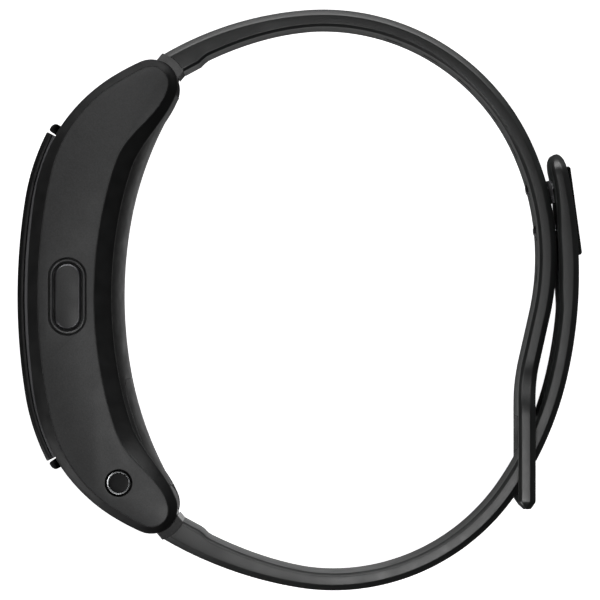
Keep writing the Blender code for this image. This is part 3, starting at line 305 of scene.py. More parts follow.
def case_curve(start_x, *arcs):
    """A curve up the case from its middle, bending right; arcs are (length, radius) in millimetres."""
    right_hand = tuple((length * MM, -radius * MM) for length, radius in arcs)
    return ArcPath((start_x * MM, CASE_MID_Y), math.pi / 2, right_hand, CASE_MID_Y)


GLASS = case_curve(-33.4, (11.5, 74.0), (8.2, 26.7))
RIM = case_curve(-32.3, (11.6, 85.0), (18.0, 20.3))
BELLY = case_curve(-20.9, (8.4, 51.0), (20.0, 41.6))
FLANK_RIM = case_curve(-30.9, (14.5, 67.6), (13.6, 16.9))
FLANK_REAR = case_curve(-24.3, (14.5, 50.5), (10.6, 20.9))
UPPER = ArcPath((-15.93 * MM, 29.19 * MM), math.radians(30.0),
                ((17.7 * MM, -39.15 * MM), (33.1 * MM, -27.2 * MM), (20.9 * MM, -32.3 * MM), (5.7 * MM, None),
                 (4.6 * MM, 20.6 * MM), (12.6 * MM, None)))
LOWER = ArcPath((-15.70 * MM, -28.54 * MM), math.radians(-29.7),
                ((16.35 * MM, 46.8 * MM), (29.8 * MM, 26.2 * MM), (15.2 * MM, 40.5 * MM),
                 (27.0 * MM, 55.1 * MM)))

TIP_X = -17.4 * MM
TIP_RISE = 24.85 * MM
TIP_RADIUS = 3.13 * MM
TIP_DIRECTION = math.radians(50.0)
FLANK_TIP = (-17.5 * MM, CASE_MID_Y + 25.2 * MM)
FLANK_TIP_RADIUS = 2.0 * MM
KEY = (-27.4 * MM, CASE_MID_Y)
HALF_CIRCLE_POINTS = 25
BUTTON = (-21.35 * MM, -21.6 * MM)


def spread(first, last, count):
    return [first + (last - first) * i / (count - 1) for i in range(count)]


def smoothstep(value):
    value = min(max(value, 0.0), 1.0)
    return value * value * (3 - 2 * value)


def centred(width):
    """The z range of something of this width in the middle of the band."""
    return MID_Z - width / 2, MID_Z + width / 2


def rectangle(a0, a1, b0, b1):
    """Corners of a rectangle between two values each way."""
    return [(a0, b0), (a1, b0), (a1, b1), (a0, b1)]


def soften(points, reach, steps=3):
    """Replace each corner of a closed outline by a short curve that starts at the given distance from it."""
    result = []
    count = len(points)
    for i in range(count):
        corner = Vector(points[i])
        before, after = Vector(points[i - 1]) - corner, Vector(points[(i + 1) % count]) - corner
        near = min(reach, before.length * 0.45, after.length * 0.45)
        first, last = corner + before.normalized() * near, corner + after.normalized() * near
        for k in range(steps + 1):
            t = k / steps
            result.append(tuple(first * (1 - t) ** 2 + corner * 2 * t * (1 - t) + last * t * t))
    return result


def finish_mesh(name, mesh_data, mat=None, angle=40.0):
    bmesh.ops.recalc_face_normals(mesh_data, faces=mesh_data.faces)
    mesh = bpy.data.meshes.new(name)
    mesh_data.to_mesh(mesh)
    mesh_data.free()
    mesh.shade_smooth()
    mesh.set_sharp_from_angle(angle=math.radians(angle))
    if mat:
        mesh.materials.append(mat)
    obj = bpy.data.objects.new(name, mesh)
    bpy.context.scene.collection.objects.link(obj)
    return obj


def loft(name, loops, mat=None, angle=40.0, closed=False):
    """Skin over closed loops of equal length: capped at both ends or, if closed, joined end to end."""
    mesh_data = bmesh.new()
    rings = [[mesh_data.verts.new(point) for point in loop] for loop in loops]
    count = len(rings[0])
    next_rings = rings[1:] + rings[:1] if closed else rings[1:]
    for lower, upper in zip(rings, next_rings):
        for i in range(count):
            j = (i + 1) % count
            mesh_data.faces.new((lower[i], lower[j], upper[j], upper[i]))
    if not closed:
        mesh_data.faces.new(rings[0])
        mesh_data.faces.new(list(reversed(rings[-1])))
    return finish_mesh(name, mesh_data, mat, angle)


def sweep(name, path, stations, mat=None, angle=40.0):
    """Carry cross-sections of (left offset, z) points along a path; stations are (distance, section)."""
    loops = [[(*path.offset(s, left), z) for left, z in section] for s, section in stations]
    return loft(name, loops, mat, angle)


def slab(path, span, lefts, width, steps=48):
    """A block bent along a path, between two offsets to its left."""
    section = rectangle(*lefts, *centred(width))
    return sweep("slab", path, [(s, section) for s in spread(*span, steps)])


def stack(name, levels, mat=None, angle=40.0, closed=False):
    """Skin over outlines at successive heights; levels are (z, outline)."""
    return loft(name, [[(x, y, z) for x, y in outline] for z, outline in levels], mat, angle, closed)


def prism(name, outline, z_range, mat=None):
    return stack(name, [(z, outline) for z in z_range], mat)


def circle(centre, radius, count=64):
    step = 2 * math.pi / count
    return [(centre[0] + radius * math.cos(i * step), centre[1] + radius * math.sin(i * step))
            for i in range(count)]


def capsule(first, second, radius):
    """Outline of a straight slot with a half circle round each of two points."""
    direction = math.atan2(second[1] - first[1], second[0] - first[0])
    points = []
    for centre, start in ((second, direction - math.pi / 2), (first, direction + math.pi / 2)):
        for i in range(HALF_CIRCLE_POINTS):
            angle = start + math.pi * i / (HALF_CIRCLE_POINTS - 1)
            points.append((centre[0] + radius * math.cos(angle), centre[1] + radius * math.sin(angle)))
    return points


def local_block(path, distance, along, outward, width):
    """A straight block set square to a case curve: ranges along it and outward (to its right)."""
    x, y, heading = path.at(distance)
    cosine, sine = math.cos(heading), math.sin(heading)
    outline = [(x + t * cosine + n * sine, y + t * sine - n * cosine) for t, n in rectangle(*along, *outward)]
    return prism("block", outline, centred(width))


def rod(start, direction, rings, count=40):
    """A round piece along a direction in the XY plane; rings are (distance, radius)."""
    axis = Vector((math.cos(direction), math.sin(direction), 0.0))
    side = Vector((-axis.y, axis.x, 0.0))
    loops = []
    for distance, radius in rings:
        loop = []
        for i in range(count):
            angle = 2 * math.pi * i / count
            offset = side * math.cos(angle) + Vector((0.0, 0.0, 1.0)) * math.sin(angle)
            loop.append(Vector(start) + axis * distance + offset * radius)
        loops.append(loop)
    return loft("rod", loops)


def carve(target, tools, angle=40.0):
    """Apply boolean tools, given as (operation, object), to the target for good, then remove them."""
    for operation, tool in tools:
        modifier = target.modifiers.new("carve", "BOOLEAN")
        modifier.operation = operation
        modifier.solver = "EXACT"
        modifier.object = tool
    graph = bpy.context.evaluated_depsgraph_get()
    mesh = bpy.data.meshes.new_from_object(target.evaluated_get(graph))
    target.modifiers.clear()
    target.data = mesh
    mesh.set_sharp_from_angle(angle=math.radians(angle))
    for _, tool in tools:
        bpy.data.objects.remove(tool, do_unlink=True)


def cutting(*tools):
    return [("DIFFERENCE", tool) for tool in tools]


def stand_in(piece, body, slot_name, *nodes):
    """Ride a piece on its body in the place of the named CAD nodes."""
    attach(piece, body)
    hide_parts(*nodes)


# ---------------------------------------------------------------- case outlines

RIM_STEPS = 64
TIP_STEPS = 36
REAR_STEPS = 56
REAR_SHELL = 1.3 * MM
REAR_REACH = 13.5 * MM
FILL_BEFORE = 12
FILL_AFTER = 16


def tip_point(side):
    return TIP_X, CASE_MID_Y + side * TIP_RISE


def beyond_tip_point(side, distance):
    """A point beyond a case tip, out along its strap."""
    x, y = tip_point(side)
    return x + distance * math.cos(TIP_DIRECTION), y + side * distance * math.sin(TIP_DIRECTION)


def bisect(function, low, high):
    """Where a function changes sign between two values."""
    low_sign = function(low) > 0
    for _ in range(40):
        middle = (low + high) / 2
        if (function(middle) > 0) == low_sign:
            low = middle
        else:
            high = middle
    return (low + high) / 2


def run_into_tip(path, centre, radius):
    """The same curve with one more arc, which runs smoothly into a tip circle."""
    x, y, heading = path.at(path.length())
    vx, vy = centre[0] - x, centre[1] - y
    along_normal = vx * math.sin(heading) - vy * math.cos(heading)
    last_radius = (vx * vx + vy * vy - radius * radius) / (2 * (along_normal - radius))
    bend_x = x + last_radius * math.sin(heading)
    bend_y = y - last_radius * math.cos(heading)
    end_heading = math.atan2(centre[1] - bend_y, centre[0] - bend_x) - math.pi / 2
    last = (last_radius * (heading - end_heading), -last_radius)
    return ArcPath(path.start, path.heading, path.arcs + (last,), CASE_MID_Y)


def case_outline(rim, centre, radius, rear, rear_left, inset=0.0):
    """Closed outline of the case: the rim, round the tip, back along the rear, and its mirror image."""
    def beyond_tip(distance):
        x, y = rear.offset(distance, rear_left)
        return math.hypot(x - centre[0], y - centre[1]) - radius

    start = rear.arcs[0][0]
    rear_end = bisect(beyond_tip, start, start + REAR_REACH)
    x, y = rear.offset(rear_end, rear_left)
    last_angle = math.atan2(y - centre[1], x - centre[0])
    rim = run_into_tip(rim, centre, radius)
    points = [rim.offset(s, -inset) for s in spread(0.0, rim.length(), RIM_STEPS)]
    first_angle = rim.at(rim.length())[2] + math.pi / 2
    for angle in spread(first_angle, last_angle, TIP_STEPS)[1:-1]:
        points.append((centre[0] + (radius - inset) * math.cos(angle),
                       centre[1] + (radius - inset) * math.sin(angle)))
    points += [rear.offset(s, rear_left + inset) for s in spread(rear_end, 0.0, REAR_STEPS)]
    corner = RIM_STEPS + TIP_STEPS
    points = fill_hollow(points, corner - FILL_BEFORE, corner + FILL_AFTER)
    return points + [(x, 2 * CASE_MID_Y - y) for x, y in reversed(points[1:-1])]


def fill_hollow(points, first, last):
    """Replace the run of points between two places by a smooth curve that keeps both end directions."""
    start, end = Vector(points[first]), Vector(points[last])
    reach = (end - start).length / 3
    out = start + (start - Vector(points[first - 1])).normalized() * reach
    back = end - (Vector(points[last + 1]) - end).normalized() * reach
    curve = []
    for i in range(first, last + 1):
        t = (i - first) / (last - first)
        curve.append(tuple(start * (1 - t) ** 3 + out * 3 * t * (1 - t) ** 2 + back * 3 * t * t * (1 - t)
                           + end * t ** 3))
    return points[:first] + curve + points[last + 1:]


def flank_outline(inset=0.0):
    """Outline of the flat flank."""
    return case_outline(FLANK_RIM, FLANK_TIP, FLANK_TIP_RADIUS, FLANK_REAR, 0.0, inset)


def side_outline():
    """Outline of the case below its chamfers."""
    centre = (TIP_X - 0.15 * MM, CASE_MID_Y + TIP_RISE + 0.08 * MM)
    return case_outline(RIM, centre, TIP_RADIUS, BELLY, REAR_SHELL)


def key_outline(width, length):
    """The function key's stadium outline at a given size."""
    reach = (length - width) / 2
    return capsule((KEY[0], KEY[1] - reach), (KEY[0], KEY[1] + reach), width / 2)


# ---------------------------------------------------------------- case

COVER_WIDTH = 17.5 * MM
FLAP_WIDTH = 14.9 * MM
FLAP_CORNER = 1.7 * MM
COVER_EDGE_DROP = 1.35 * MM
COVER_THICKNESS = 1.8 * MM
COVER_END_S = 24.2 * MM
HINGE_S = -9.9 * MM
FLAP_END_S = HINGE_S + 0.12 * MM
HINGE_DEPTH = 0.95 * MM
SOCKET_S = -15.6 * MM
CONTACT_S = -9.0 * MM
KEY_HOLE = (4.6 * MM, 9.3 * MM)
WELL_RADIUS = 1.65 * MM
WELL_DEPTH = 4.8 * MM
SEAT_DEPTH = 0.7 * MM
BAY_REACH = 20.25 * MM
BAY_WIDTH = 18.9 * MM
DEEP_BAY_REACH = 14.8 * MM
DEEP_BAY_WIDTH = 12.5 * MM
CHAMBER_WIDTH = 7.6 * MM
HOLLOW_WIDTH = 11.2 * MM
ARM_END = (-25.5 * MM, -19.1 * MM)
FLAP_GAP = 0.15 * MM
HINGE_END_GAP = 0.05 * MM
BEYOND_FLANK = (-1.0 * MM, 23.0 * MM)
CHAMFER_PROFILE = ((0.0, 0.02), (0.03, 0.035), (0.09, 0.07), (0.85, 0.5), (1.45, 0.86), (1.6, 0.93),
                   (1.75, 0.975), (1.95, 1.0))
PLATE_PROFILE = ((21.34, 0.03), (21.94, 0.03), (21.98, 0.05), (22.0, 0.09))


def edge_levels(flank, side):
    """Outlines from the far flank up to the near one, with small rounded edges along the chamfers."""
    def between(share):
        return [(a[0] + (b[0] - a[0]) * share, a[1] + (b[1] - a[1]) * share) for a, b in zip(flank, side)]

    half = [(height * MM, between(share)) for height, share in CHAMFER_PROFILE]
    return half + [(CASE_WIDTH - z, outline) for z, outline in reversed(half)]


def pockets():
    """Cutters for the display module's bay, the hollows behind the rear covers and the spring bars."""
    tools = [
        slab(GLASS, (-BAY_REACH, BAY_REACH), (3.0 * MM, -3.6 * MM), BAY_WIDTH),
        slab(GLASS, (-DEEP_BAY_REACH, DEEP_BAY_REACH), (-3.3 * MM, -8.6 * MM), DEEP_BAY_WIDTH),
        local_block(GLASS, CONTACT_S, (-1.5 * MM, 1.5 * MM), (8.0 * MM, 12.0 * MM), 8.6 * MM),
        local_block(BELLY, SOCKET_S, (-2.6 * MM, 2.3 * MM), (-7.7 * MM, -1.0 * MM), HOLLOW_WIDTH),
        prism("arms", capsule(BUTTON, ARM_END, 1.5 * MM), centred(CHAMBER_WIDTH)),
        local_block(BELLY, SOCKET_S, (-6.4 * MM, -3.9 * MM), (-5.4 * MM, -1.0 * MM), CHAMBER_WIDTH),
        prism("hinge_relief", circle(BELLY.offset(HINGE_S, HINGE_DEPTH), 1.25 * MM), centred(8.0 * MM)),
        prism("key_pocket", key_outline(*KEY_HOLE), (20.2 * MM, BEYOND_FLANK[1])),
        prism("well_near", circle(BUTTON, WELL_RADIUS), (CASE_WIDTH - WELL_DEPTH, BEYOND_FLANK[1])),
        prism("well_far", circle(BUTTON, WELL_RADIUS), (BEYOND_FLANK[0], WELL_DEPTH)),
    ]
    for side in (1, -1):
        tip = tip_point(side)
        end = beyond_tip_point(side, 4.7 * MM)
        tools.append(prism("tongue_slot", capsule(tip, end, 2.05 * MM), centred(12.5 * MM)))
    return tools


def make_case_frame():
    levels = edge_levels(flank_outline(), side_outline())
    frame_piece = stack("case_frame", levels, MATERIALS["case_plastic"], 28.0)
    rear = slab(BELLY, (-26.0 * MM, 26.0 * MM), (1.9 * MM, -3.0 * MM), COVER_WIDTH + 0.3 * MM, 64)
    tools = cutting(rear)
    for side in (1, -1):
        centre = (TIP_X - 0.1 * MM, CASE_MID_Y + side * (TIP_RISE + 0.05 * MM))
        levels = []
        for z in spread(*centred(18.6 * MM), 25):
            crown = 0.9 * MM * (abs(z - MID_Z) / (9.3 * MM)) ** 3
            levels.append((z, circle(centre, TIP_RADIUS - 0.02 * MM - crown, 128)))
        tools.append(("UNION", stack("tip_core", levels)))
    seat = flank_outline(0.02 * MM)
    tools += cutting(*pockets())
    tools += cutting(prism("seat_near", seat, (CASE_WIDTH - SEAT_DEPTH, BEYOND_FLANK[1])),
                     prism("seat_far", seat, (BEYOND_FLANK[0], SEAT_DEPTH)))
    carve(frame_piece, tools, 28.0)
    stand_in(frame_piece, "cradle", "case_plastic", "cradle_frame")


def make_flank_plates():
    for name, near in (("near", True), ("far", False)):
        levels = [(z * MM if near else CASE_WIDTH - z * MM, flank_outline(inset * MM))
                  for z, inset in PLATE_PROFILE]
        plate = stack("flank_plate_" + name, levels, MATERIALS["flank_plate"], 50.0)
        tools = cutting(prism("button_hole", circle(BUTTON, WELL_RADIUS, 96), BEYOND_FLANK))
        if near:
            tools += cutting(prism("key_hole", key_outline(*KEY_HOLE), BEYOND_FLANK))
        carve(plate, tools, 30.0)
        stand_in(plate, "cradle", "flank_plate", "side_plate_" + name)


def crown_section(width):
    """Cross-section of a rear cover: flat underneath, rounded towards the wrist."""
    low, high = centred(width)
    points = [(COVER_EDGE_DROP * (2 * abs(z - MID_Z) / COVER_WIDTH) ** 2.6, z) for z in spread(low, high, 45)]
    return points + [(COVER_THICKNESS, high), (COVER_THICKNESS, low)]


def flap_stations(end, width, corner, section):
    """Stations near the port cover's hinge end, where its corners are rounded."""
    stations = []
    for angle in (4, 12, 20, 30, 40, 50, 60, 70, 80, 90):
        back = corner * (1.0 - math.cos(math.radians(angle)))
        drop = corner * (1.0 - math.sin(math.radians(angle)))
        stations.append((end - back, section(width - 2 * drop)))
    return stations


def make_rear_cover():
    section = crown_section(COVER_WIDTH + 0.32 * MM)
    cover = sweep("belly_cover", BELLY, [(s, section) for s in spread(-24.9 * MM, 24.9 * MM, 180)],
                  MATERIALS["case_plastic"])

    def through(width):
        return rectangle(-2.0 * MM, 3.0 * MM, *centred(width))

    width = FLAP_WIDTH + 2 * FLAP_GAP
    stations = flap_stations(FLAP_END_S + HINGE_END_GAP, width, FLAP_CORNER + FLAP_GAP, through)
    stations += [(s, through(width)) for s in spread(stations[-1][0], -26.0 * MM, 30)[1:]]
    carve(cover, cutting(sweep("flap_room", BELLY, stations)))
    stand_in(cover, "cradle", "case_plastic", "rear_cover")


def make_port_cover():
    """The port flap: it ends just past its hinge axis, so its end turns down behind the rear cover."""
    stations = flap_stations(FLAP_END_S, FLAP_WIDTH, FLAP_CORNER, crown_section)
    stations += [(s, crown_section(FLAP_WIDTH)) for s in spread(stations[-1][0], -24.5 * MM, 60)[1:]]
    cover = sweep("port_flap_cover", BELLY, stations, MATERIALS["case_plastic"])
    tip = prism("tip", circle(tip_point(-1), TIP_RADIUS + 0.12 * MM, 96), centred(30.0 * MM))
    scoop = prism("scoop", circle(BELLY.offset(-COVER_END_S, -0.4 * MM), 0.9 * MM, 48), centred(5.0 * MM))
    carve(cover, cutting(tip, scoop))
    stand_in(cover, "port_flap", "case_plastic", "port_cover")


# ---------------------------------------------------------------- keys and buttons

KEY_SIZE = (3.2, 7.9)
KEY_PROFILE = ((20.3, 0.0), (21.6, 0.0), (21.7, 0.04), (21.88, 0.22), (21.92, 0.3))
KEY_RING_SIZE = (4.3, 9.0)
KEY_RING_PROFILE = ((20.5, 0.04), (21.72, 0.04), (21.83, 0.07), (21.9, 0.13), (21.92, 0.2), (21.9, 0.27),
                    (21.83, 0.33), (21.72, 0.36), (20.5, 0.36))
CAP_PROFILE = ((0.7, 13.4), (0.7, 20.7), (1.42, 20.7), (1.42, 21.7), (1.4, 21.8), (1.35, 21.86),
               (1.29, 21.85), (1.26, 21.78), (1.25, 21.66), (1.25, 21.5))
DISC_PROFILE = ((1.21, 21.52), (1.21, 21.64), (1.18, 21.69), (1.06, 21.71), (0.6, 21.72))


def key_levels(size, profile):
    """Stadium outlines at (height, inset) in millimetres from the full size."""
    levels = []
    for z, inset in profile:
        width, length = ((side - 2 * inset) * MM for side in size)
        levels.append((z * MM, key_outline(width, length)))
    return levels


def make_function_key():
    levels = key_levels(KEY_SIZE, KEY_PROFILE)
    key = stack("function_key_cap", levels, MATERIALS["flank_plate"], 50.0)
    carve(key, [("UNION", prism("stem", circle(KEY, 0.7 * MM), (19.45 * MM, 20.8 * MM)))], 30.0)
    key.data.materials.append(MATERIALS["bezel_metal"])
    for face in key.data.polygons:
        face.material_index = int(face.normal.z < 0.97)
    stand_in(key, "function_key_body", "flank_plate", "function_key")
    levels = key_levels(KEY_RING_SIZE, KEY_RING_PROFILE)
    ring = stack("key_surround", levels, MATERIALS["ring_plastic"], 50.0, closed=True)
    stand_in(ring, "cradle", "gloss_plastic", "key_ring")


def make_release_button(label, body, flip):
    """Round cap with a rim, and the inlay in it; flipped for the far flank."""
    def turned(name, profile, mat):
        levels = []
        for radius, height in profile:
            z = CASE_WIDTH - height * MM if flip else height * MM
            levels.append((z, circle(BUTTON, radius * MM, 96)))
        return stack(name, levels, mat, 50.0)

    cap = turned("button_cap_" + label, CAP_PROFILE, MATERIALS["button_metal"])
    stand_in(cap, body, "bright_metal", "release_button_" + label)
    disc = turned("button_disc_" + label, DISC_PROFILE, MATERIALS["disc_plastic"])
    stand_in(disc, body, "gloss_plastic", "button_inlay_" + label)


# ---------------------------------------------------------------- display module

MODULE_HALF_LENGTH = 20.0 * MM
GLASS_BOTTOM = -0.86 * MM
TRIM_PROFILE = ((0.2, 0.42), (0.24, 0.2), (0.32, 0.06), (0.45, 0.0), (0.8, 0.02), (1.05, 0.1), (1.25, 0.24),
                (1.36, 0.42), (1.4, 0.6))


def make_glass():
    half, depth = 8.6 * MM, 0.8 * MM
    corner = [(-depth, -half), (-0.35 * MM, -half), (0.0, -half + 0.4 * MM)]
    section = [(left, MID_Z + z) for left, z in corner + [(left, -z) for left, z in reversed(corner)]]
    stations = []
    for back, drop in ((0.0, 0.12), (0.05, 0.05), (0.14, 0.0)):
        low = [(min(left, -drop * MM), z) for left, z in section]
        stations.append((-MODULE_HALF_LENGTH + back * MM, soften(low, 0.1 * MM)))
    flat = [(s, soften(section, 0.1 * MM)) for s in spread(-19.7 * MM, 19.7 * MM, 90)]
    ends = [(-s, ring) for s, ring in reversed(stations)]
    glass = sweep("glass_pane", GLASS, stations + flat + ends, MATERIALS["cover_glass"], 50.0)
    glass.data.materials.append(MATERIALS["glass_edge"])
    for face in glass.data.polygons:
        face.material_index = int(abs(face.normal.z) > 0.1)
    stand_in(glass, "display_module", "cover_glass", "cover_glass")


def make_bezel():
    half, width = MODULE_HALF_LENGTH, 18.4 * MM
    section = soften(rectangle(GLASS_BOTTOM, -2.8 * MM, *centred(width)), 0.08 * MM)
    stations = [(s, section) for s in spread(-half, half, 90)]
    bezel = sweep("bezel_band", GLASS, stations, MATERIALS["bezel_metal"])
    inner = half - 1.2 * MM
    carve(bezel, cutting(slab(GLASS, (-inner, inner), (0.0, -3.4 * MM), width - 2.4 * MM, 90)))
    stand_in(bezel, "display_module", "dark_metal", "module_bezel")


def make_end_trims():
    edge, end, foot = 7.7 * MM, 8.1 * MM, -1.02 * MM
    for label, sign in (("upper", 1), ("lower", -1)):
        stations = []
        for distance, drop in TRIM_PROFILE:
            top = -0.1 * MM - drop * MM
            section = [(foot, MID_Z - edge), (top - 0.2 * MM, MID_Z - end), (top, MID_Z - edge),
                       (top, MID_Z + edge), (top - 0.2 * MM, MID_Z + end), (foot, MID_Z + edge)]
            stations.append((sign * (MODULE_HALF_LENGTH + distance * MM), section))
        trim = sweep("trim_hook_" + label, GLASS, stations, MATERIALS["trim_metal"], 60.0)
        stand_in(trim, "display_module", "bright_metal", "end_trim_" + label)


# ---------------------------------------------------------------- straps

STRAP_WIDTH = 18.0 * MM
THICKNESS = 2.05 * MM
OUTER_CHAMFER = 0.65 * MM
INNER_CHAMFER = 0.35 * MM
LOOP_SHOULDER_S = 77.6 * MM
TIP_SPLIT_S = 58.4 * MM
PEG_S = (55.9 * MM, 61.3 * MM)
PEG_DIRECTION = math.radians(8.0)
HOLE_PITCH = 5.4 * MM
HOLE_RADIUS = 1.2 * MM
ROOT_RADIUS = 4.06 * MM
LOOP_END_PROFILE = ((0.8, 0.02), (0.4, 0.28), (0.1, 0.5), (0.0, 0.58))
TIP_END_PROFILE = ((1.5, 17.6, 0.03), (0.9, 16.4, 0.12), (0.5, 15.0, 0.25), (0.25, 13.6, 0.4),
                   (0.08, 12.6, 0.56), (0.0, 12.0, 0.7))
PEEL_REACH = 6.0 * MM


def strap_thickness(distance):
    """Both straps are thicker near the case, most of all beside the connector."""
    taper = 0.6 * MM * (1.0 - smoothstep(distance / (20.0 * MM)))
    return THICKNESS + taper + 0.35 * MM * (1.0 - smoothstep((distance - 3.0 * MM) / (1.4 * MM)))


def tip_swell(distance):
    """The free tip swells a little where it leaves the upper strap, and thins out at its end."""
    rise = smoothstep((distance - 69.0 * MM) / (3.5 * MM))
    fall = 1.0 - smoothstep((distance - 78.0 * MM) / (4.0 * MM))
    return 0.25 * MM * (rise * fall) - 0.22 * MM * smoothstep((distance - 81.0 * MM) / (4.0 * MM))


def strap_section(thickness, width, inward, pinch=0.0):
    """Chamfered cross-section with softened edges; inward is +1 where the wrist lies to the path's left."""
    half = width / 2
    outer = (pinch, half - 0.9 * MM)
    outer_side = (pinch + min(OUTER_CHAMFER, thickness / 2 - pinch), half)
    inner_side = (thickness - pinch - min(INNER_CHAMFER, thickness / 2 - pinch), half)
    inner = (thickness - pinch, half - 0.5 * MM)
    top = [(inward * depth, MID_Z + reach) for depth, reach in (outer, outer_side, inner_side, inner)]
    bottom = [(left, 2 * MID_Z - z) for left, z in reversed(top)]
    return soften(top + bottom, 0.1 * MM)


def root_tool(side):
    """The round space that a connector takes up, as wide as the connector itself."""
    return prism("root", circle(tip_point(side), ROOT_RADIUS, 128), centred(40.0 * MM))


def make_upper_strap():
    length = UPPER.length()
    stations = []
    for s in spread(-0.6 * MM, length - 1.1 * MM, 150):
        width = STRAP_WIDTH + (CASE_WIDTH - STRAP_WIDTH) * smoothstep((s - LOOP_SHOULDER_S) / (5.5 * MM))
        stations.append((s, strap_section(strap_thickness(s), width, -1)))
    for back, pinch in LOOP_END_PROFILE:
        width = CASE_WIDTH - 2 * pinch * MM
        stations.append((length - back * MM, strap_section(THICKNESS, width, -1, pinch * MM)))
    strap = sweep("upper_strap_rubber", UPPER, stations, MATERIALS["strap_rubber"])
    window = soften(rectangle(-11.0 * MM, -1.6 * MM, -1.0 * MM, 3.05 * MM), 0.1 * MM)
    x, y, heading = UPPER.at(length)
    cosine, sine = math.cos(heading), math.sin(heading)
    outline = [(x + t * cosine + n * sine, y + t * sine - n * cosine) for t, n in window]
    tools = [root_tool(1), prism("window", outline, centred(19.0 * MM))]
    distances = [PEG_S[0] - HOLE_PITCH * (i + 1) for i in range(5)] + [*PEG_S, PEG_S[1] + HOLE_PITCH]
    for s in distances:
        direction = PEG_DIRECTION if s in PEG_S else UPPER.at(s)[2] + math.pi / 2
        start = (*UPPER.offset(s, -THICKNESS), MID_Z)
        tools.append(rod(start, direction, ((-1.0 * MM, HOLE_RADIUS), (3.05 * MM, HOLE_RADIUS))))
    carve(strap, cutting(*tools))
    stand_in(strap, "cradle", "strap_rubber", "upper_strap")


def make_lower_strap():
    """The lower strap and its free tip in one piece; the span where the tip peels off is worked out but not
    used.
    """
    length = LOWER.length()
    distances = spread(-0.6 * MM, length - 2.0 * MM, 150)
    stations = [(s, strap_section(strap_thickness(s) + tip_swell(s), STRAP_WIDTH, 1)) for s in distances]
    thickness = THICKNESS + tip_swell(length)
    for back, width, pinch in TIP_END_PROFILE:
        stations.append((length - back * MM, strap_section(thickness, width * MM, 1, pinch * MM)))
    strap = sweep("lower_strap_rubber", LOWER, stations, MATERIALS["strap_rubber"])
    tools = [root_tool(-1), clasp_prism("plate_seat", 0.06 * MM, (-0.12 * MM, THICKNESS))]
    for s in PEG_S:
        start = (*UPPER.offset(s, -THICKNESS), MID_Z)
        tools.append(rod(start, PEG_DIRECTION, ((THICKNESS, 0.85 * MM), (4 * THICKNESS, 0.85 * MM))))
    carve(strap, cutting(*tools))
    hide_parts("lower_strap", "strap_tip")
    x, y, heading = LOWER.at(TIP_SPLIT_S)
    along, up = PEEL_REACH * math.cos(heading), PEEL_REACH * math.sin(heading)
    start, end = (x - along, y - up, MID_Z), (x + along, y + up, MID_Z)
    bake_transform(strap)


def clasp_prism(name, growth, outward, width=13.6 * MM, mat=None):
    """The clasp's outer plate, straight with bevelled ends, on the chord of the strap's outer face."""
    first, last = Vector(LOWER.offset(76.0 * MM, 0.0)), Vector(LOWER.offset(86.6 * MM, 0.0))
    along = (last - first).normalized()
    normal = Vector((along.y, -along.x))
    base = first + normal * 0.05 * MM
    reach = (last - first).length
    low, high = outward
    bevel = (high - low) / 2
    corners = ((-growth, low), (-growth, high - bevel), (bevel - growth, high),
               (reach + growth - bevel, high), (reach + growth, high - bevel), (reach + growth, low))
    outline = [tuple(base + along * a + normal * n) for a, n in corners]
    return prism(name, soften(outline, 0.1 * MM), centred(width + 2 * growth), mat)


def make_clasp_plate():
    plate = clasp_prism("clasp_plate_metal", 0.0, (0.0, 0.42 * MM), mat=MATERIALS["clasp_metal"])
    plate.data.materials.append(MATERIALS["bright_metal"])
    for face in plate.data.polygons:
        face.material_index = int(abs(face.normal.y) > 0.5)
    stand_in(plate, "free_tip", "dark_metal", "clasp_plate")


def make_connector(side, label):
    """Hard link between a case tip and a strap: an arc band with a tongue on the spring bar."""
    tip = tip_point(side)
    band = []
    for radius, order in ((4.1 * MM, 1), (3.17 * MM, -1)):
        reach = math.asin(1.62 * MM / radius)
        for angle in spread(TIP_DIRECTION - reach * order, TIP_DIRECTION + reach * order, 31):
            band.append((tip[0] + radius * math.cos(angle), tip[1] + side * radius * math.sin(angle)))
    outline = soften(band, 0.06 * MM, 2)
    link = prism(label + "_link", outline, centred(STRAP_WIDTH), MATERIALS["gloss_plastic"])
    tongue = prism("tongue", capsule(tip, beyond_tip_point(side, 1.8 * MM), 1.8 * MM), centred(12.0 * MM))
    carve(link, [("UNION", tongue)] + cutting(prism("bore", circle(tip, 0.95 * MM), centred(30.0 * MM))))
    stand_in(link, "cradle", "gloss_plastic", label + "_connector")


# ---------------------------------------------------------------- CAD nodes

def dress_cad_nodes():
    """Give every CAD piece that is carried over the procedural material of its slot."""
    slots = {row["node"]: row["material_slot"] for row in frame["record"]["subparts"]}
    for name, obj in frame["nodes"].items():
        obj.data.materials.clear()
        obj.data.materials.append(MATERIALS[slots[name]])


# ---------------------------------------------------------------- studio

def make_floor():
    mesh_data = bmesh.new()
    bmesh.ops.create_circle(mesh_data, cap_ends=True, segments=64, radius=6.0)
    n = Nodes("pale_floor")
    tone = n.remap(n.noise(0.4, 3.0), *CLOUD_SPREAD, 0.88, 0.92)
    n.set(n.shader.inputs["Base Color"], tone)
    n.shader.inputs["Roughness"].default_value = 0.9
    n.shader.inputs["Emission Color"].default_value = (1.0, 1.0, 1.0, 1.0)
    n.shader.inputs["Emission Strength"].default_value = 0.93
    floor = finish_mesh("floor", mesh_data, n.material)
    floor.location.z = WHOLE_LOW.z
    floor.visible_glossy = False
    floor.visible_diffuse = False
    floor.visible_shadow = False


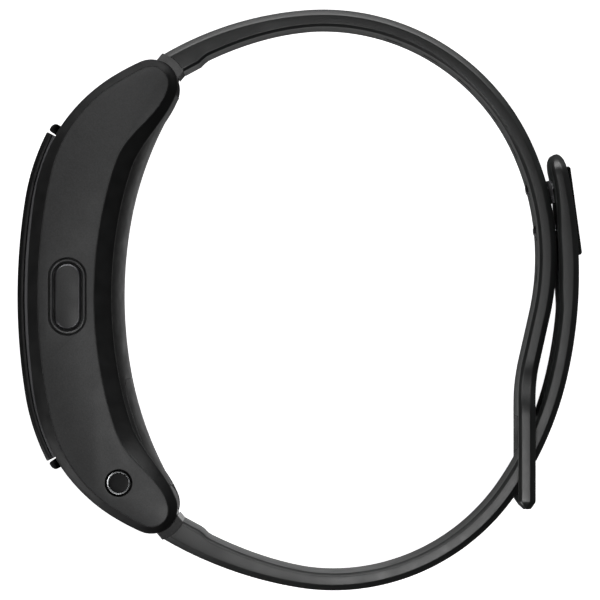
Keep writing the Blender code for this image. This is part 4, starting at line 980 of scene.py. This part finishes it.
def area_light(name, place, aim, size, power):
    """A soft rectangle of light that only shows in what it lights."""
    light = bpy.data.lights.new(name, "AREA")
    light.shape = "RECTANGLE"
    light.size, light.size_y = size
    light.energy = power
    obj = bpy.data.objects.new(name, light)
    obj.location = place
    obj.rotation_euler = (Vector(aim) - Vector(place)).to_track_quat("-Z", "Y").to_euler()
    obj.visible_camera = False
    bpy.context.scene.collection.objects.link(obj)


# name, place, aim, size and power in watts
LIGHTS = (
    ("wall_behind", (0.0, 0.70, 0.10), (0.0, 0.0, 0.02), (1.4, 0.45), 13.0),
    ("wall_front_left", (-0.48, -0.43, 0.05), (0.0, 0.0, 0.02), (0.16, 0.3), 2.6),
    ("near_overhead", (0.022, -0.040, 0.118), (0.014, -0.036, 0.0), (0.035, 0.035), 0.055),
    ("over_flank", (-0.020, 0.012, 0.20), (-0.024, 0.0, 0.022), (0.04, 0.08), 0.04),
    ("glint_behind", (-0.045, 0.10, 0.10), (-0.027, 0.0, 0.022), (0.02, 0.02), 0.012),
    ("glow_below", (-0.008, -0.018, -0.035), (-0.008, -0.018, 0.1), (0.035, 0.07), 0.0038),
)


def make_studio():
    make_floor()
    for light in LIGHTS:
        area_light(*light)
    world = bpy.data.worlds.new("studio")
    world.use_nodes = True
    background = world.node_tree.nodes["Background"]
    background.inputs["Color"].default_value = (1.0, 1.0, 1.0, 1.0)
    background.inputs["Strength"].default_value = 0.04
    bpy.context.scene.world = world
    bpy.context.scene.view_settings.view_transform = "Standard"


CAMERA_HEIGHT = 0.87
VIEW_WIDTH = 70.8 * MM


def make_camera():
    camera = bpy.data.cameras.new("camera")
    camera.sensor_width = 36.0
    camera.lens = 36.0 * CAMERA_HEIGHT / VIEW_WIDTH
    camera.clip_start = 0.05
    camera.clip_end = 20.0
    obj = bpy.data.objects.new("camera", camera)
    obj.location = (0.06 * MM, 0.0, WHOLE_HIGH.z + CAMERA_HEIGHT)
    bpy.context.scene.collection.objects.link(obj)
    bpy.context.scene.camera = obj


make_camera()
make_studio()
dress_cad_nodes()
make_case_frame()
make_flank_plates()
make_rear_cover()
make_port_cover()
make_function_key()
make_release_button("near", "near_button", False)
make_release_button("far", "far_button", True)
make_glass()
make_bezel()
make_end_trims()
make_upper_strap()
make_lower_strap()
make_clasp_plate()
make_connector(1, "upper")
make_connector(-1, "lower")
